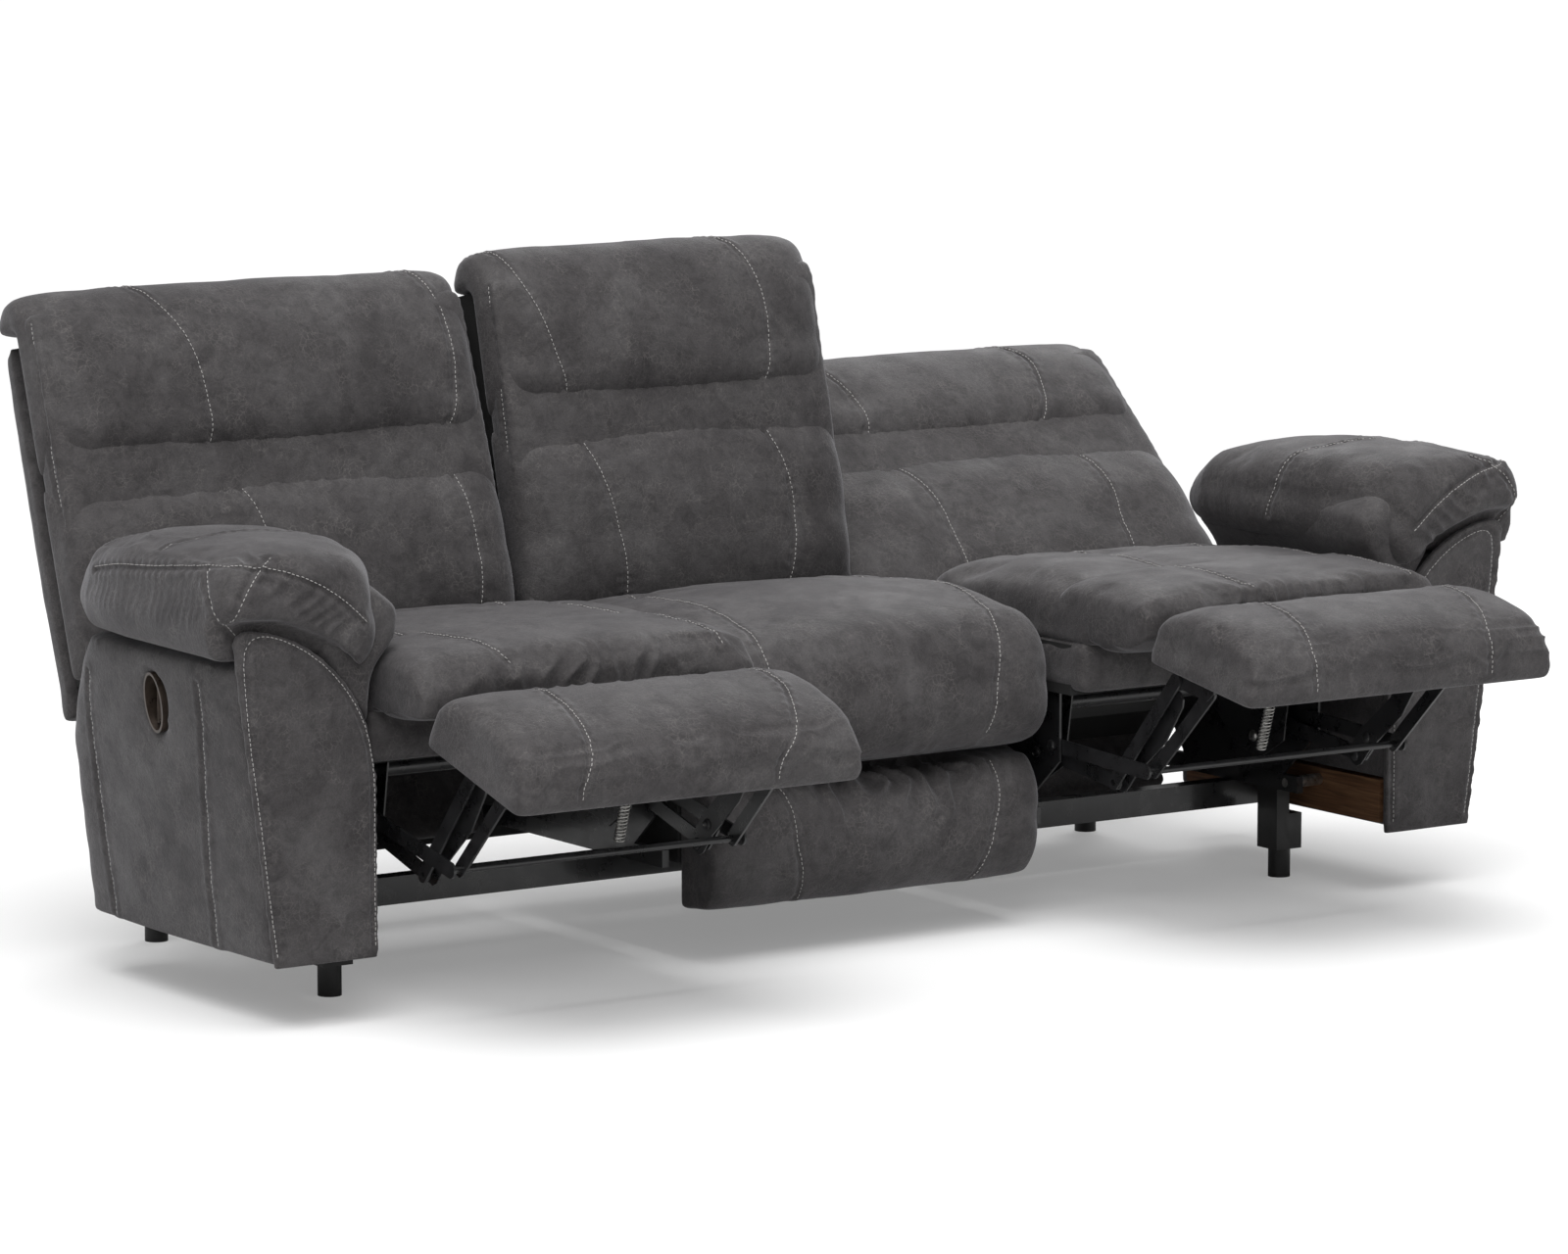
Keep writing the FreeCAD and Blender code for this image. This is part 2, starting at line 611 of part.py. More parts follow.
    panel_top = size("arm_panel_top_z")
    panel_outer = arm_outer_x(panel_top)
    panel_steps = [
        (inner_x, arm_bottom_z), (size("arm_bottom_outer_x") - 2, arm_bottom_z),
        (panel_outer - 3, panel_top - 18),
        (panel_outer - 9, panel_top - 5, panel_outer - 26, panel_top),
        (inner_x + 100, panel_top - 34, inner_x + 11, size("arm_panel_inner_z")),
        (inner_x, size("arm_panel_inner_z") - 60),
    ]
    outline = closed_outline(panel_steps, lambda a, b: Vec(sign * a, front_y, b))
    panel = Part.Face(outline).extrude(Vec(0, size("arm_panel_thickness"), 0))
    keep(solid("arm_front_panel_" + side, panel), "arm_front_panel_" + side)

    # Pad sections from its rounded nose to its rear end: place, inner and outer trim,
    # underside at the inner edge, middle and outer edge, and top, above the arm body.
    crown = size("pad_height")
    nose = size("pad_nose")
    thin = size("arm_panel_thickness")
    pad_rows = (
        (-nose, 92, 32, 8, 52, 72, 0.72 * crown),
        (-0.6 * nose, 76, 10, -10, 46, 66, 0.86 * crown),
        (-0.1 * nose, 68, 3, -16, 45, 63, 0.94 * crown),
        (thin + gap, 60, 0, -14, 46, 62, 0.98 * crown),
        (thin + gap + 3, 58, 0, 12, 7.5, 9, 0.98 * crown),
        (60.0, 30, 0, 14, 7.5, 11, crown),
        (140.0, 8, 2, 14, 7.5, 11, crown + 3),
        (280.0, 0, 6, 14, 7.5, 11, crown),
        (size("pad_depth") - 60, 4, 20, 15, 8, 12, 0.9 * crown),
        (size("pad_depth") - 14, 16, 34, 24, 18, 22, 0.74 * crown),
        (size("pad_depth"), 38, 56, 40, 36, 38, 0.56 * crown),
    )
    wires = []
    for back, inner_trim, outer_trim, low_in, low_mid, low_out, top in pad_rows:
        high = arm_top_z + top
        near = size("pad_inner_x") + inner_trim
        far = size("pad_outer_x") - outer_trim
        width = far - near
        middle_in = (arm_top_z + low_in + high) / 2
        middle_out = (arm_top_z + low_out + high) / 2
        steps = [
            (near + 0.09 * width, arm_top_z + low_in),
            (near + 0.45 * width, arm_top_z + low_mid, far - 0.05 * width, arm_top_z + low_out),
            (far - 0.01 * width, arm_top_z + low_out + 10, far, middle_out),
            (far - 0.05 * width, high - 20, far - 0.22 * width, high - 5),
            (near + 0.5 * width, high, near + 0.24 * width, high - 7),
            (near + 0.06 * width, high - 26, near, middle_in),
            (near + 0.02 * width, arm_top_z + low_in + 12,
             near + 0.09 * width, arm_top_z + low_in),
        ]
        wires.append(closed_outline(
            steps, lambda a, b, back=back: Vec(sign * a, front_y + back, b)))
    keep(solid("arm_pad_" + side, Part.makeLoft(wires, True, True)), "arm_pad_" + side)

keep(group("arm_bolts", bolts), "arm_bolts")
keep(group("handle_cups", cups), "handle_cups")

# Release levers: a paddle on an upright barrel, in each handle cup.

for side, sign in SIDES:
    lever_y = front_y + size("cup_back") + size("lever_width") / 2
    lever_x = sign * (cup_x - 0.55 * size("cup_depth"))
    half = size("lever_thickness") / 2
    paddle = box("lever_paddle_" + side, "lever_thickness", "lever_width", "lever_height",
                 lever_x - half, lever_y - size("lever_width"),
                 size("cup_z") - size("lever_height") / 2)
    barrel = rod("lever_barrel_" + side, "lever_barrel_radius", "lever_height + 6",
                 lever_x, lever_y, size("cup_z") - size("lever_height") / 2 - 3, X_AXIS, 0)
    keep(fuse("release_lever_" + side, [paddle, barrel]), "release_lever_" + side)


# Back cushions and frames, in a back's own axes: forward and up from the pivot.

def head_steps(top, crease):
    """Head pillow: full in front, rolled over the top of the frame."""
    rear = -size("back_depth") + gap
    shell_rear = -size("back_depth") - size("frame_thickness") - 36.0
    low = crease + 5.0
    frame_top = size("frame_top") + 2.0
    return [
        (rear, low), (-25.0, low),
        (4.0, low + 24, 12.0, low + 84),
        (6.0, top - 92, -22.0, top - 34),
        (-58.0, top - 6, -104.0, top - 2),
        (shell_rear + 16, top - 14, shell_rear, top - 48),
        (shell_rear, frame_top), (rear, frame_top),
    ]


def lumbar_steps(crease):
    rear = -size("back_depth") + gap
    low = size("lumbar_bottom")
    high = crease - 5.0
    return [
        (rear, low), (-20.0, low),
        (10.0, low + 45, 20.0, low + 140),
        (18.0, high - 70, -16.0, high),
        (rear, high),
    ]


def shell_steps(bottom):
    """Outer back panel: flat towards the frame, gently full towards the rear."""
    inner = -size("back_depth") - size("frame_thickness") - gap
    outer = inner - size("shell_thickness")
    top = size("frame_top")
    return [
        (inner, bottom), (inner, top - 14),
        (outer + 18, top - 16, outer + 6, top - 40),
        (outer, (bottom + top) / 2, outer + 6, bottom + 10),
        (outer + 12, bottom),
    ]


def back_boards(tag, x_start, x_end, low, put_y, lean, low_start, low_end):
    """Back frame: two tall boards between the side plates, and a ladder of rails
    with uprights above them, wide behind the pillows."""
    angle = -lean
    sine = math.sin(math.radians(lean))
    cosine = math.cos(math.radians(lean))
    pivot_z = size("back_pivot_z")
    depth = size("back_depth")

    def board(name, x, length, height, up):
        y = put_y + up * sine + depth * cosine
        z = pivot_z + up * cosine - depth * sine
        item = doc.addObject("Part::Box", name)
        item.Length = length
        item.Height = height
        item.setExpression("Width", bound("frame_thickness"))
        return place(item, x, y, z, X_AXIS, angle)

    upright = 20.0
    rail = 45.0
    wide_low = size("shell_bottom") + 45.0
    top = size("frame_top")
    parts = [
        board(tag + "_low_inner", low_start, upright, top - low, low),
        board(tag + "_low_outer", low_end - upright, upright, top - low, low),
    ]
    rows = 3
    for number in range(rows + 1):
        up = wide_low + number * (top - wide_low - rail) / rows
        parts.append(board("%s_rail_%d" % (tag, number), x_start, x_end - x_start, rail, up))
    columns = 4
    for number in range(columns + 1):
        x = x_start + number * (x_end - x_start - upright) / columns
        parts.append(board("%s_upright_%d" % (tag, number), x, upright, top - wide_low, wide_low))
    for number in (1, 2):
        x = low_start + number * (low_end - low_start - upright) / 3
        parts.append(board("%s_low_middle_%d" % (tag, number), x, upright,
                           wide_low + rail - low, low))
    parts.append(board(tag + "_low_rail", low_start, low_end - low_start, rail, low))
    return parts


def build_back(tag, x_start, x_end, pivot_y, lean, top, low, low_start, low_end, trims):
    """Pillows and outer panel of one back; returns the parts of its frame.
    trims gives how far the outer panel and the frame stop short of each end."""
    put = back_frame_axes(pivot_y, lean)
    crease = size(tag + "_crease")
    rear = -size("back_depth") + gap
    steps = head_steps(top, crease)
    anchor = (rear, size("frame_top") + 2.0)
    keep(cushion("head_pillow_" + tag, steps, cushion_stations(x_start, x_end, PILLOW_ENDS),
                 anchor, put, (steps[0], steps[-1])), "head_pillow_" + tag)
    steps = lumbar_steps(crease)
    anchor = (rear, 0.5 * (size("lumbar_bottom") + crease))
    keep(cushion("lumbar_pillow_" + tag, steps, cushion_stations(x_start, x_end, LUMBAR_ENDS),
                 anchor, put, (steps[0], steps[-1])), "lumbar_pillow_" + tag)
    panel_start = x_start + trims[0]
    panel_end = x_end - trims[1]
    inner = -size("back_depth") - size("frame_thickness") - gap
    steps = shell_steps(size("shell_bottom"))
    stations = ((panel_start, 0.62), (panel_start + 12, 0.86), (panel_start + 40, 0.97),
                (0.5 * (panel_start + panel_end), 1.0),
                (panel_end - 40, 0.97), (panel_end - 12, 0.86), (panel_end, 0.62))
    wires = []
    for x, swell in stations:
        wires.append(closed_outline(
            steps, lambda a, b, x=x, swell=swell: put(x, inner + (a - inner) * swell, b)))
    panel = Part.makeLoft(wires, True, True)
    half = size("skirt_half_width")
    centre = 0.5 * (low_start + low_end)
    skirt_outer = inner - size("shell_thickness") + 24
    skirt = []
    for x in (centre - half, centre + half):
        skirt.append(closed_outline(
            [(inner, -size("skirt_drop")), (inner, size("shell_bottom") + 4),
             (skirt_outer, size("shell_bottom") + 4), (skirt_outer, -size("skirt_drop"))],
            lambda a, b, x=x: put(x, a, b)))
    panel = panel.fuse(Part.makeLoft(skirt, True, True)).removeSplitter()
    keep(solid("outer_back_" + tag, panel), "outer_back_" + tag)
    frame_inset = 14.0
    return back_boards("back_frame_" + tag, panel_start + frame_inset, panel_end - frame_inset,
                       low, pivot_y, lean, low_start, low_end)


# Middle seat: a fixed box on the cross rails, a rolled seat cushion, a front panel
# below its crease, and an upright back.

middle_half = size("middle_half_width")
middle_put = seat_frame(0.0)
middle_front = size("middle_box_front")
middle_pivot_y = front_y + size("back_pivot_back")
box_low_z = rail_top_z
box_high_z = size("middle_box_top_z")
middle_lean = math.radians(size("upright_lean"))


def middle_rear(z):
    """Rear edge of the middle seat box, just in front of its leaning back frame."""
    depth = size("back_depth") - gap
    up = (z - size("back_pivot_z") + depth * math.sin(middle_lean)) / math.cos(middle_lean)
    return size("back_pivot_back") + up * math.sin(middle_lean) + depth * math.cos(middle_lean)


wall = 18.0
box_parts = []
corners = [(middle_front, box_low_z), (middle_rear(box_low_z), box_low_z),
           (middle_rear(box_high_z), box_high_z), (middle_front, box_high_z)]
for number in range(4):
    board = polygon_body("middle_board_%d" % number, "YZ_Plane", corners, "18")
    x = -middle_half + 4 + number * (2 * (middle_half - 4) - wall) / 3
    box_parts.append(place(board, x, front_y, 0))
for number in range(3):
    y = middle_front + number * (middle_rear(box_low_z) - wall - middle_front) / 2
    box_parts.append(box("middle_cross_board_%d" % number, "2 * ( middle_half_width - 4 )", "18",
                         "middle_box_top_z - rail_bottom_z - rail_height",
                         -middle_half + 4, front_y + y, box_low_z))
keep(fuse("middle_seat_box", box_parts), "middle_seat_box")
crease_z = size("middle_crease_z")
box_top = size("middle_box_top_z") + gap
roll_front = middle_front - gap
middle_seat_steps = [
    (500, box_top), (500, 448), (492, 478, 440, 485),
    (290, 502, 130, 484), (50, 448, 32, 375), (42, 300, 92, crease_z + 3),
    (roll_front, crease_z + 3), (roll_front, box_top),
]
keep(cushion("middle_seat_cushion", middle_seat_steps,
             cushion_stations(-middle_half, middle_half, SEAT_ENDS), (250, box_top), middle_put,
             (middle_seat_steps[0], middle_seat_steps[-2], middle_seat_steps[-1])),
     "middle_seat_cushion")
panel_low = size("middle_panel_bottom_z")
middle_panel_steps = [
    (roll_front, panel_low), (96, panel_low), (60, panel_low + 38, 53, panel_low + 95),
    (62, crease_z - 34, 92, crease_z - 3), (roll_front, crease_z - 3),
]
keep(cushion("middle_front_panel", middle_panel_steps,
             cushion_stations(-middle_half + 6, middle_half - 6, PANEL_ENDS),
             (roll_front, 0.5 * (panel_low + crease_z)), middle_put,
             (middle_panel_steps[0], middle_panel_steps[-1])), "middle_front_panel")
parts = build_back("middle", -middle_half, middle_half, middle_pivot_y, size("upright_lean"),
                   size("middle_head_top"), -size("skirt_drop") + 10, -middle_half + 14,
                   middle_half - 14, (4, 4))
keep(fuse("back_frame_middle", parts), "back_frame_middle")


# Outer seats.

def spring_tube(start, end):
    """A close helix of wire between two points, with a straight hook run at each end."""
    axis = end.sub(start)
    length = axis.Length
    axis.normalize()
    side_way = X_AXIS
    third = axis.cross(side_way)
    radius = size("spring_radius")
    pitch = size("spring_pitch")
    turns = int(length / pitch)
    pitch = length / turns

    def point(turn):
        angle = 2 * math.pi * turn
        out = Vec(side_way) * (radius * math.cos(angle)) + Vec(third) * (radius * math.sin(angle))
        return start + out + Vec(axis) * (pitch * turn)

    def tangent(turn):
        angle = 2 * math.pi * turn
        way = Vec(side_way) * (-2 * math.pi * radius * math.sin(angle))
        way = way + Vec(third) * (2 * math.pi * radius * math.cos(angle)) + Vec(axis) * pitch
        return way.normalize()

    edges = []
    for step in range(4 * turns):
        edges += biarc(point(step / 4), tangent(step / 4), point((step + 1) / 4),
                       tangent((step + 1) / 4))
    path = Part.Wire(edges)
    ring = Part.Wire([Part.makeCircle(size("spring_wire_radius"), point(0), tangent(0))])
    tube = path.makePipeShell([ring], True, False)
    samples = [point(step / 16) for step in range(16 * turns + 1)]
    least = min((samples[a] - samples[b]).Length
                for a in range(len(samples)) for b in range(a + 12, min(a + 40, len(samples))))
    print("spring turns", turns, "least gap to itself %.2f mm" %
          (least - 2 * size("spring_wire_radius")))
    return tube


def biarc(start, start_way, end, end_way):
    """Two arcs from start to end that meet smoothly and keep the given directions."""
    chord = end - start
    ways = start_way + end_way
    square = 2 * (1 - start_way.dot(end_way))
    linear = 2 * chord.dot(ways)
    reach = (-linear + math.sqrt(linear * linear + 4 * square * chord.dot(chord))) / (2 * square)
    joint = (start + start_way * reach + end - end_way * reach) * 0.5
    return [arc_along(start, start_way, joint), arc_along(end, end_way * -1, joint, True)]


def arc_along(start, way, end, backwards=False):
    """An arc from start along way to end, or the same arc run backwards."""
    chord = end - start
    unit = Vec(chord).normalize()
    cosine = max(-1.0, min(1.0, way.dot(unit)))
    normal = (way - unit * cosine).normalize()
    middle = (start + end) * 0.5 + normal * (0.5 * chord.Length * math.tan(math.acos(cosine) / 2))
    if backwards:
        start, end = end, start
    return Part.Arc(start, middle, end).toShape()


def build_open_seat(side, sign, lean, back_off):
    centre = sign * size("seat_centre_x")
    half = size("seat_half_width")
    shift = size("carriage_travel") * (lean - size("upright_lean")) / size("back_swing")
    put = seat_frame(shift)
    seat_y = front_y - shift
    inside = size("plate_half_gap")
    middle = sign * size("linkage_centre_x")
    layer = plate + size("layer_gap")

    # Where the links stand: each angle is its fully-out angle plus its share of the swing.
    share = back_off / size("lift_swing")
    lift_angle = size("lift_open_angle") + back_off
    link_angle = size("board_link_open_angle") + share * size("board_link_swing")
    board_angle = 180 + size("board_open_slope") + share * size("board_swing")
    lift_pivot = (seat_y + size("lift_pivot_back"), size("lift_pivot_z"))
    knee = polar(*lift_pivot, size("lift_length"), lift_angle)
    rod_place = polar(*lift_pivot, size("lift_reach"), lift_angle)
    board_pivot = polar(*knee, size("board_link_length"), link_angle)
    rear_control = (seat_y + size("rear_control_back"), size("rear_control_z"))

    # Control links close the linkage exactly with the footrest fully out.
    open_knee = polar(*lift_pivot, size("lift_length"), size("lift_open_angle"))
    open_rod = polar(*lift_pivot, size("lift_reach"), size("lift_open_angle"))
    open_tail = polar(*open_knee, -size("board_link_tail"), size("board_link_open_angle"))
    open_board = polar(*open_knee, size("board_link_length"), size("board_link_open_angle"))
    open_second = polar(*open_board, size("board_pivot_spacing"), 180 + size("board_open_slope"))
    rear_length = math.dist(rear_control, open_tail)
    front_length = math.dist(open_rod, open_second)
    rear_angle = angle_between(rear_control, open_tail) % 360 + share * size("rear_control_swing")
    front_angle = angle_between(open_rod, open_second) + share * size("front_control_swing")

    def layer_x(level, inner):
        """Low x of a link layer, counted inwards from the side plate."""
        start = inside - (level + 1) * layer
        if inner > 0:
            return middle + start
        return middle - start - plate

    both = (-1, 1)

    # Carriage: side plates, cross tubes, seat box, cushion.
    plates = []
    for inner in both:
        tag = "%s_%d" % (side, inner + 1)
        low = slide_rail_top_z + gap
        top = size("box_bottom_z")
        back = size("back_pivot_back")
        corners = [(130, 240), (130, top), (back + 40, top), (back + 40, top - 55),
                   (back - 46, low), (215, low)]
        bores = [
            (size("lift_pivot_back"), size("lift_pivot_z"), "rivet_radius + running_gap"),
            (size("rear_control_back"), size("rear_control_z"), "rivet_radius + running_gap"),
            (back, size("back_pivot_z"), "back_pin_radius + running_gap"),
            (size("front_tube_back"), size("front_tube_z"), "tube_radius + 0.02"),
            (size("rear_tube_back"), size("rear_tube_z"), "tube_radius + 0.02"),
        ]
        item = polygon_body("side_plate_" + tag, "YZ_Plane", corners, "plate_thickness", bores)
        x = middle + inside if inner > 0 else middle - inside - plate
        plates.append(place(item, x, seat_y, 0))
    keep(group("side_plates_" + side, plates), "side_plates_" + side)
    tubes = []
    for name in ("front", "rear"):
        outer = rod("tube_%s_%s" % (name, side), "tube_radius", "2 * ( plate_half_gap + plate_thickness )",
                    middle - inside - plate, seat_y + size(name + "_tube_back"),
                    size(name + "_tube_z"))
        bore = rod("tube_bore_%s_%s" % (name, side), "tube_radius - 2",
                   "2 * ( plate_half_gap + plate_thickness ) + 2",
                   middle - inside - plate - 1, seat_y + size(name + "_tube_back"),
                   size(name + "_tube_z"))
        tubes.append(cut("cross_tube_%s_%s" % (name, side), outer, bore))
    keep(group("cross_tubes_" + side, tubes), "cross_tubes_" + side)

    box_z = size("box_bottom_z")
    box_parts = []
    wall = 18.0
    box_depth = size("box_rear") - size("box_front")
    columns = 3
    for number in range(columns + 1):
        x = centre - half + number * (2 * half - wall) / columns
        item = box("seat_slat_%s_%d" % (side, number), "%.1f" % wall, "box_rear - box_front",
                   "box_height - seat_gap", x, seat_y + size("box_front"), box_z)
        box_parts.append(item)
    rows = 2
    for number in range(rows + 1):
        y = seat_y + size("box_front") + number * (box_depth - wall) / rows
        box_parts.append(box("seat_rail_%s_%d" % (side, number), "2 * seat_half_width",
                             "%.1f" % wall, "box_height - seat_gap", centre - half, y, box_z))
    keep(fuse("seat_box_" + side, box_parts), "seat_box_" + side)

    low = box_z + size("box_height")
    high = size("cushion_height")
    front = size("cushion_front")
    rear = size("box_rear") - 5
    seat_steps = [
        (rear, low), (front + 32, low), (front + 9.4, low + 9.4, front, low + 32),
        (front + 20, low + 0.74 * high, front + 85, low + 0.93 * high),
        (0.5 * (front + rear), low + high, rear - 85, low + 0.8 * high),
        (rear - 14, low + 0.66 * high, rear, low + 0.42 * high),
    ]
    keep(cushion("seat_cushion_" + side, seat_steps,
                 cushion_stations(centre - half, centre + half, SEAT_ENDS),
                 (0.5 * (front + rear), low), put), "seat_cushion_" + side)

    # Footrest: board, brackets and pad, in the board's own axes from its rear lower edge.
    along = (math.cos(math.radians(board_angle)), math.sin(math.radians(board_angle)))
    out = (-along[1] * -1, along[0] * -1)
    drop = size("board_pivot_drop")
    setback = size("board_pivot_setback")
    corner = (board_pivot[0] - setback * along[0] + drop * out[0],
              board_pivot[1] - setback * along[1] + drop * out[1])

    def put_board(x, forward, up):
        return Vec(x, corner[0] + forward * along[0] + up * out[0],
                   corner[1] + forward * along[1] + up * out[1])

    board_half = size("board_half_width")
    board = doc.addObject("Part::Box", "footrest_board_" + side)
    board.setExpression("Length", bound("2 * ( board_half_width - 8 )"))
    board.setExpression("Width", bound("board_depth"))
    board.setExpression("Height", bound("board_thickness"))
    turned = Turn(X_AXIS, board_angle - 180)
    start = put_board(centre - board_half + 8, size("board_depth"), 0)
    board.Placement = FreeCAD.Placement(start, turned)
    keep(board, "footrest_board_" + side)
    depth = size("board_depth")
    skin = size("board_thickness") + gap
    thick = size("pad_thickness")
    pad_steps = [
        (0, skin), (depth, skin), (depth + 14, 0.5 * thick, depth - 4, thick - 6),
        (0.55 * depth, thick + 10, 26, thick - 10), (-6, 0.55 * thick, 0, skin),
    ]
    keep(cushion("footrest_pad_" + side, pad_steps,
                 cushion_stations(centre - board_half, centre + board_half, FOOTREST_ENDS),
                 (0.5 * depth, skin), put_board), "footrest_pad_" + side)

    brackets = []
    for inner in both:
        tag = "%s_%d" % (side, inner + 1)
        x = layer_x(2, inner)
        radius = size("link_radius")
        corners = [(-12, 4), (-12 + radius, -radius), (size("board_pivot_spacing"), -radius),
                   (size("board_pivot_spacing") + 14, 4), (size("board_pivot_spacing") + 14, drop - 0.3),
                   (-12, drop - 0.3)]
        web = polygon_body("bracket_web_" + tag, "YZ_Plane",
                           [(-c[0], c[1]) for c in corners][::-1], "plate_thickness")
        web.Placement = FreeCAD.Placement(Vec(x, *board_pivot), Turn(X_AXIS, board_angle - 180))
        # A rivet outwards to the board link; the front control link is left open here.
        rivet = rod("bracket_rivet_" + tag, "rivet_radius", "2 * plate_thickness + layer_gap",
                    min(x, layer_x(1, inner)), *board_pivot)
        brackets.append(fuse("bracket_" + tag, [web, rivet]))
    keep(group("footrest_brackets_" + side, brackets), "footrest_brackets_" + side)

    # Chaise flap: soft strip from the seat front to the footrest pad.
    flap_clear = 10.5
    pad_high = put_board(0, -flap_clear, 0.82 * thick)
    pad_low = put_board(0, -flap_clear, 0.40 * thick)
    seat_high = put(0, front - 8, low + 0.62 * high)
    seat_low = put(0, front - 8, low + 0.12 * high)
    flap_steps = [
        (seat_low.y, seat_low.z), (seat_high.y, seat_high.z),
        (0.5 * (seat_high.y + pad_high.y), 0.5 * (seat_high.z + pad_high.z) + 9,
         pad_high.y, pad_high.z),
        (pad_low.y, pad_low.z),
    ]
    keep(cushion("chaise_flap_" + side, flap_steps,
                 cushion_stations(centre - board_half + 4, centre + board_half - 4, PANEL_ENDS),
                 (0.5 * (seat_high.y + pad_high.y), 0.5 * (seat_high.z + pad_low.z)),
                 lambda x, y, z: Vec(x, y, z)), "chaise_flap_" + side)

    # Links on both sides of the seat, in layers inside the side plates.
    lifts = []
    board_links = []
    rear_controls = []
    front_controls = []
    bore = "rivet_radius + running_gap"
    for inner in both:
        tag = "%s_%d" % (side, inner + 1)
        lift = link_body("lift_link_body_" + tag, "lift_reach",
                         [("0", "rivet_radius * 0.5"), ("lift_reach", "rivet_radius + 0.02")])
        place(lift, layer_x(0, inner), *lift_pivot, X_AXIS, lift_angle)
        plate_x = middle + inside if inner > 0 else middle - inside - plate
        first = rod("lift_rivet_" + tag, "rivet_radius", "2 * plate_thickness + layer_gap",
                    min(layer_x(0, inner), plate_x), *lift_pivot)
        second = rod("knee_rivet_" + tag, "rivet_radius", "2 * plate_thickness + layer_gap",
                     min(layer_x(0, inner), layer_x(1, inner)), *knee)
        lifts.append(fuse("lift_link_" + tag, [lift, first, second]))

        item = link_body("board_link_" + tag, "board_link_length + board_link_tail",
                         [("0", bore), ("board_link_tail", bore),
                          ("board_link_length + board_link_tail", bore)])
        tail = polar(*knee, -size("board_link_tail"), link_angle)
        board_links.append(place(item, layer_x(1, inner), *tail, X_AXIS, link_angle))

        item = link_body("rear_control_body_" + tag, "%.3f" % rear_length,
                         [("0", "rivet_radius * 0.5"), ("%.3f" % rear_length, bore)])
        place(item, layer_x(2, inner), *rear_control, X_AXIS, rear_angle)
        pin = rod("rear_control_rivet_" + tag, "rivet_radius",
                  "4 * plate_thickness + 3 * layer_gap",
                  min(layer_x(2, inner), plate_x), *rear_control)
        rear_controls.append(fuse("rear_control_" + tag, [item, pin]))

        item = link_body("front_control_" + tag, "%.3f" % front_length,
                         [("0", bore), ("%.3f" % front_length, bore)])
        front_controls.append(place(item, layer_x(3, inner), *rod_place, X_AXIS, front_angle))
    keep(group("lift_links_" + side, lifts), "lift_links_" + side)
    cross = rod("lift_cross_rod_" + side, "rivet_radius", "2 * ( plate_half_gap - layer_gap )",
                middle - inside + size("layer_gap"), *rod_place)
    keep(cross, "lift_cross_rod_" + side)
    keep(group("board_links_" + side, board_links), "board_links_" + side)
    keep(group("rear_control_links_" + side, rear_controls), "rear_control_links_" + side)
    keep(group("front_control_links_" + side, front_controls), "front_control_links_" + side)

    # Tension spring from the cross rod to the underside of the footrest board.
    spring_x = centre - sign * 50
    rod_point = Vec(spring_x, rod_place[0], rod_place[1])
    board_point = put_board(spring_x, 18, 0)
    way = (board_point - rod_point).normalize()
    first = rod_point + way * (size("rivet_radius") + size("spring_radius") + 3)
    last = board_point - way * (size("spring_wire_radius") + gap)
    keep(solid("tension_spring_" + side, spring_tube(first, last)), "tension_spring_" + side)

    # Back: pillows, panel and a frame carried on pins in the side plates.
    pivot_y = front_y + size("back_pivot_back") - shift
    near = size("back_inner_x")
    far = size("back_outer_x")
    x_start, x_end = (near, far) if sign > 0 else (-far, -near)
    parts = build_outer_back(side, sign, x_start, x_end, pivot_y, lean, middle, inside)
    keep(fuse("back_frame_" + side, parts), "back_frame_" + side)


def build_outer_back(side, sign, x_start, x_end, pivot_y, lean, middle, inside):
    low_start = middle - inside + size("layer_gap")
    low_end = middle + inside - size("layer_gap")
    trims = (2, 26) if sign > 0 else (26, 2)
    parts = build_back(side, x_start, x_end, pivot_y, lean, size("head_top"), -70.0,
                       low_start, low_end, trims)
    arm = 22.0
    put = back_frame_axes(pivot_y, lean)
    for inner in (-1, 1):
        tag = "%s_%d" % (side, inner + 1)
        hinge_x = low_end - 20 if inner > 0 else low_start
        hinge = doc.addObject("Part::Box", "back_hinge_arm_" + tag)
        hinge.Length = 20
        hinge.Height = 2 * arm
        hinge.setExpression("Width", bound("back_depth + 20"))
        start = put(hinge_x, 16, -arm)
        place(hinge, start.x, start.y, start.z, X_AXIS, -lean)
        pin_x = low_end - 1 if inner > 0 else low_start - plate - size("layer_gap")
        pin = rod("back_pin_" + tag, "back_pin_radius", "plate_thickness + layer_gap + 1",
                  pin_x, pivot_y, size("back_pivot_z"))
        parts += [hinge, pin]
    return parts


for side, sign in SIDES:
    lean = size(side + "_lean")
    back_off = size("left_back_off") if sign < 0 else 0.0
    build_open_seat(side, sign, lean, back_off)

doc.recompute()

# Every object must be sound before anything is written.
for item in doc.Objects:
    if "Invalid" in item.State or "Error" in item.State:
        raise RuntimeError("failed object " + item.Name)
for item in nodes:
    if item.Shape.isNull() or not item.Shape.isValid():
        raise RuntimeError("bad shape " + item.Label)
    if len(item.Shape.Solids) == 0:
        raise RuntimeError("no solid " + item.Label)

os.makedirs("parts", exist_ok=True)
for item in nodes:
    item.Shape.exportStep("parts/%s.step" % item.Label)
print(len(nodes), "nodes written")
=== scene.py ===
import math

import bmesh
import bpy
import numpy as np
from mathutils import Matrix, Vector
from mathutils.bvhtree import BVHTree
from mathutils.kdtree import KDTree


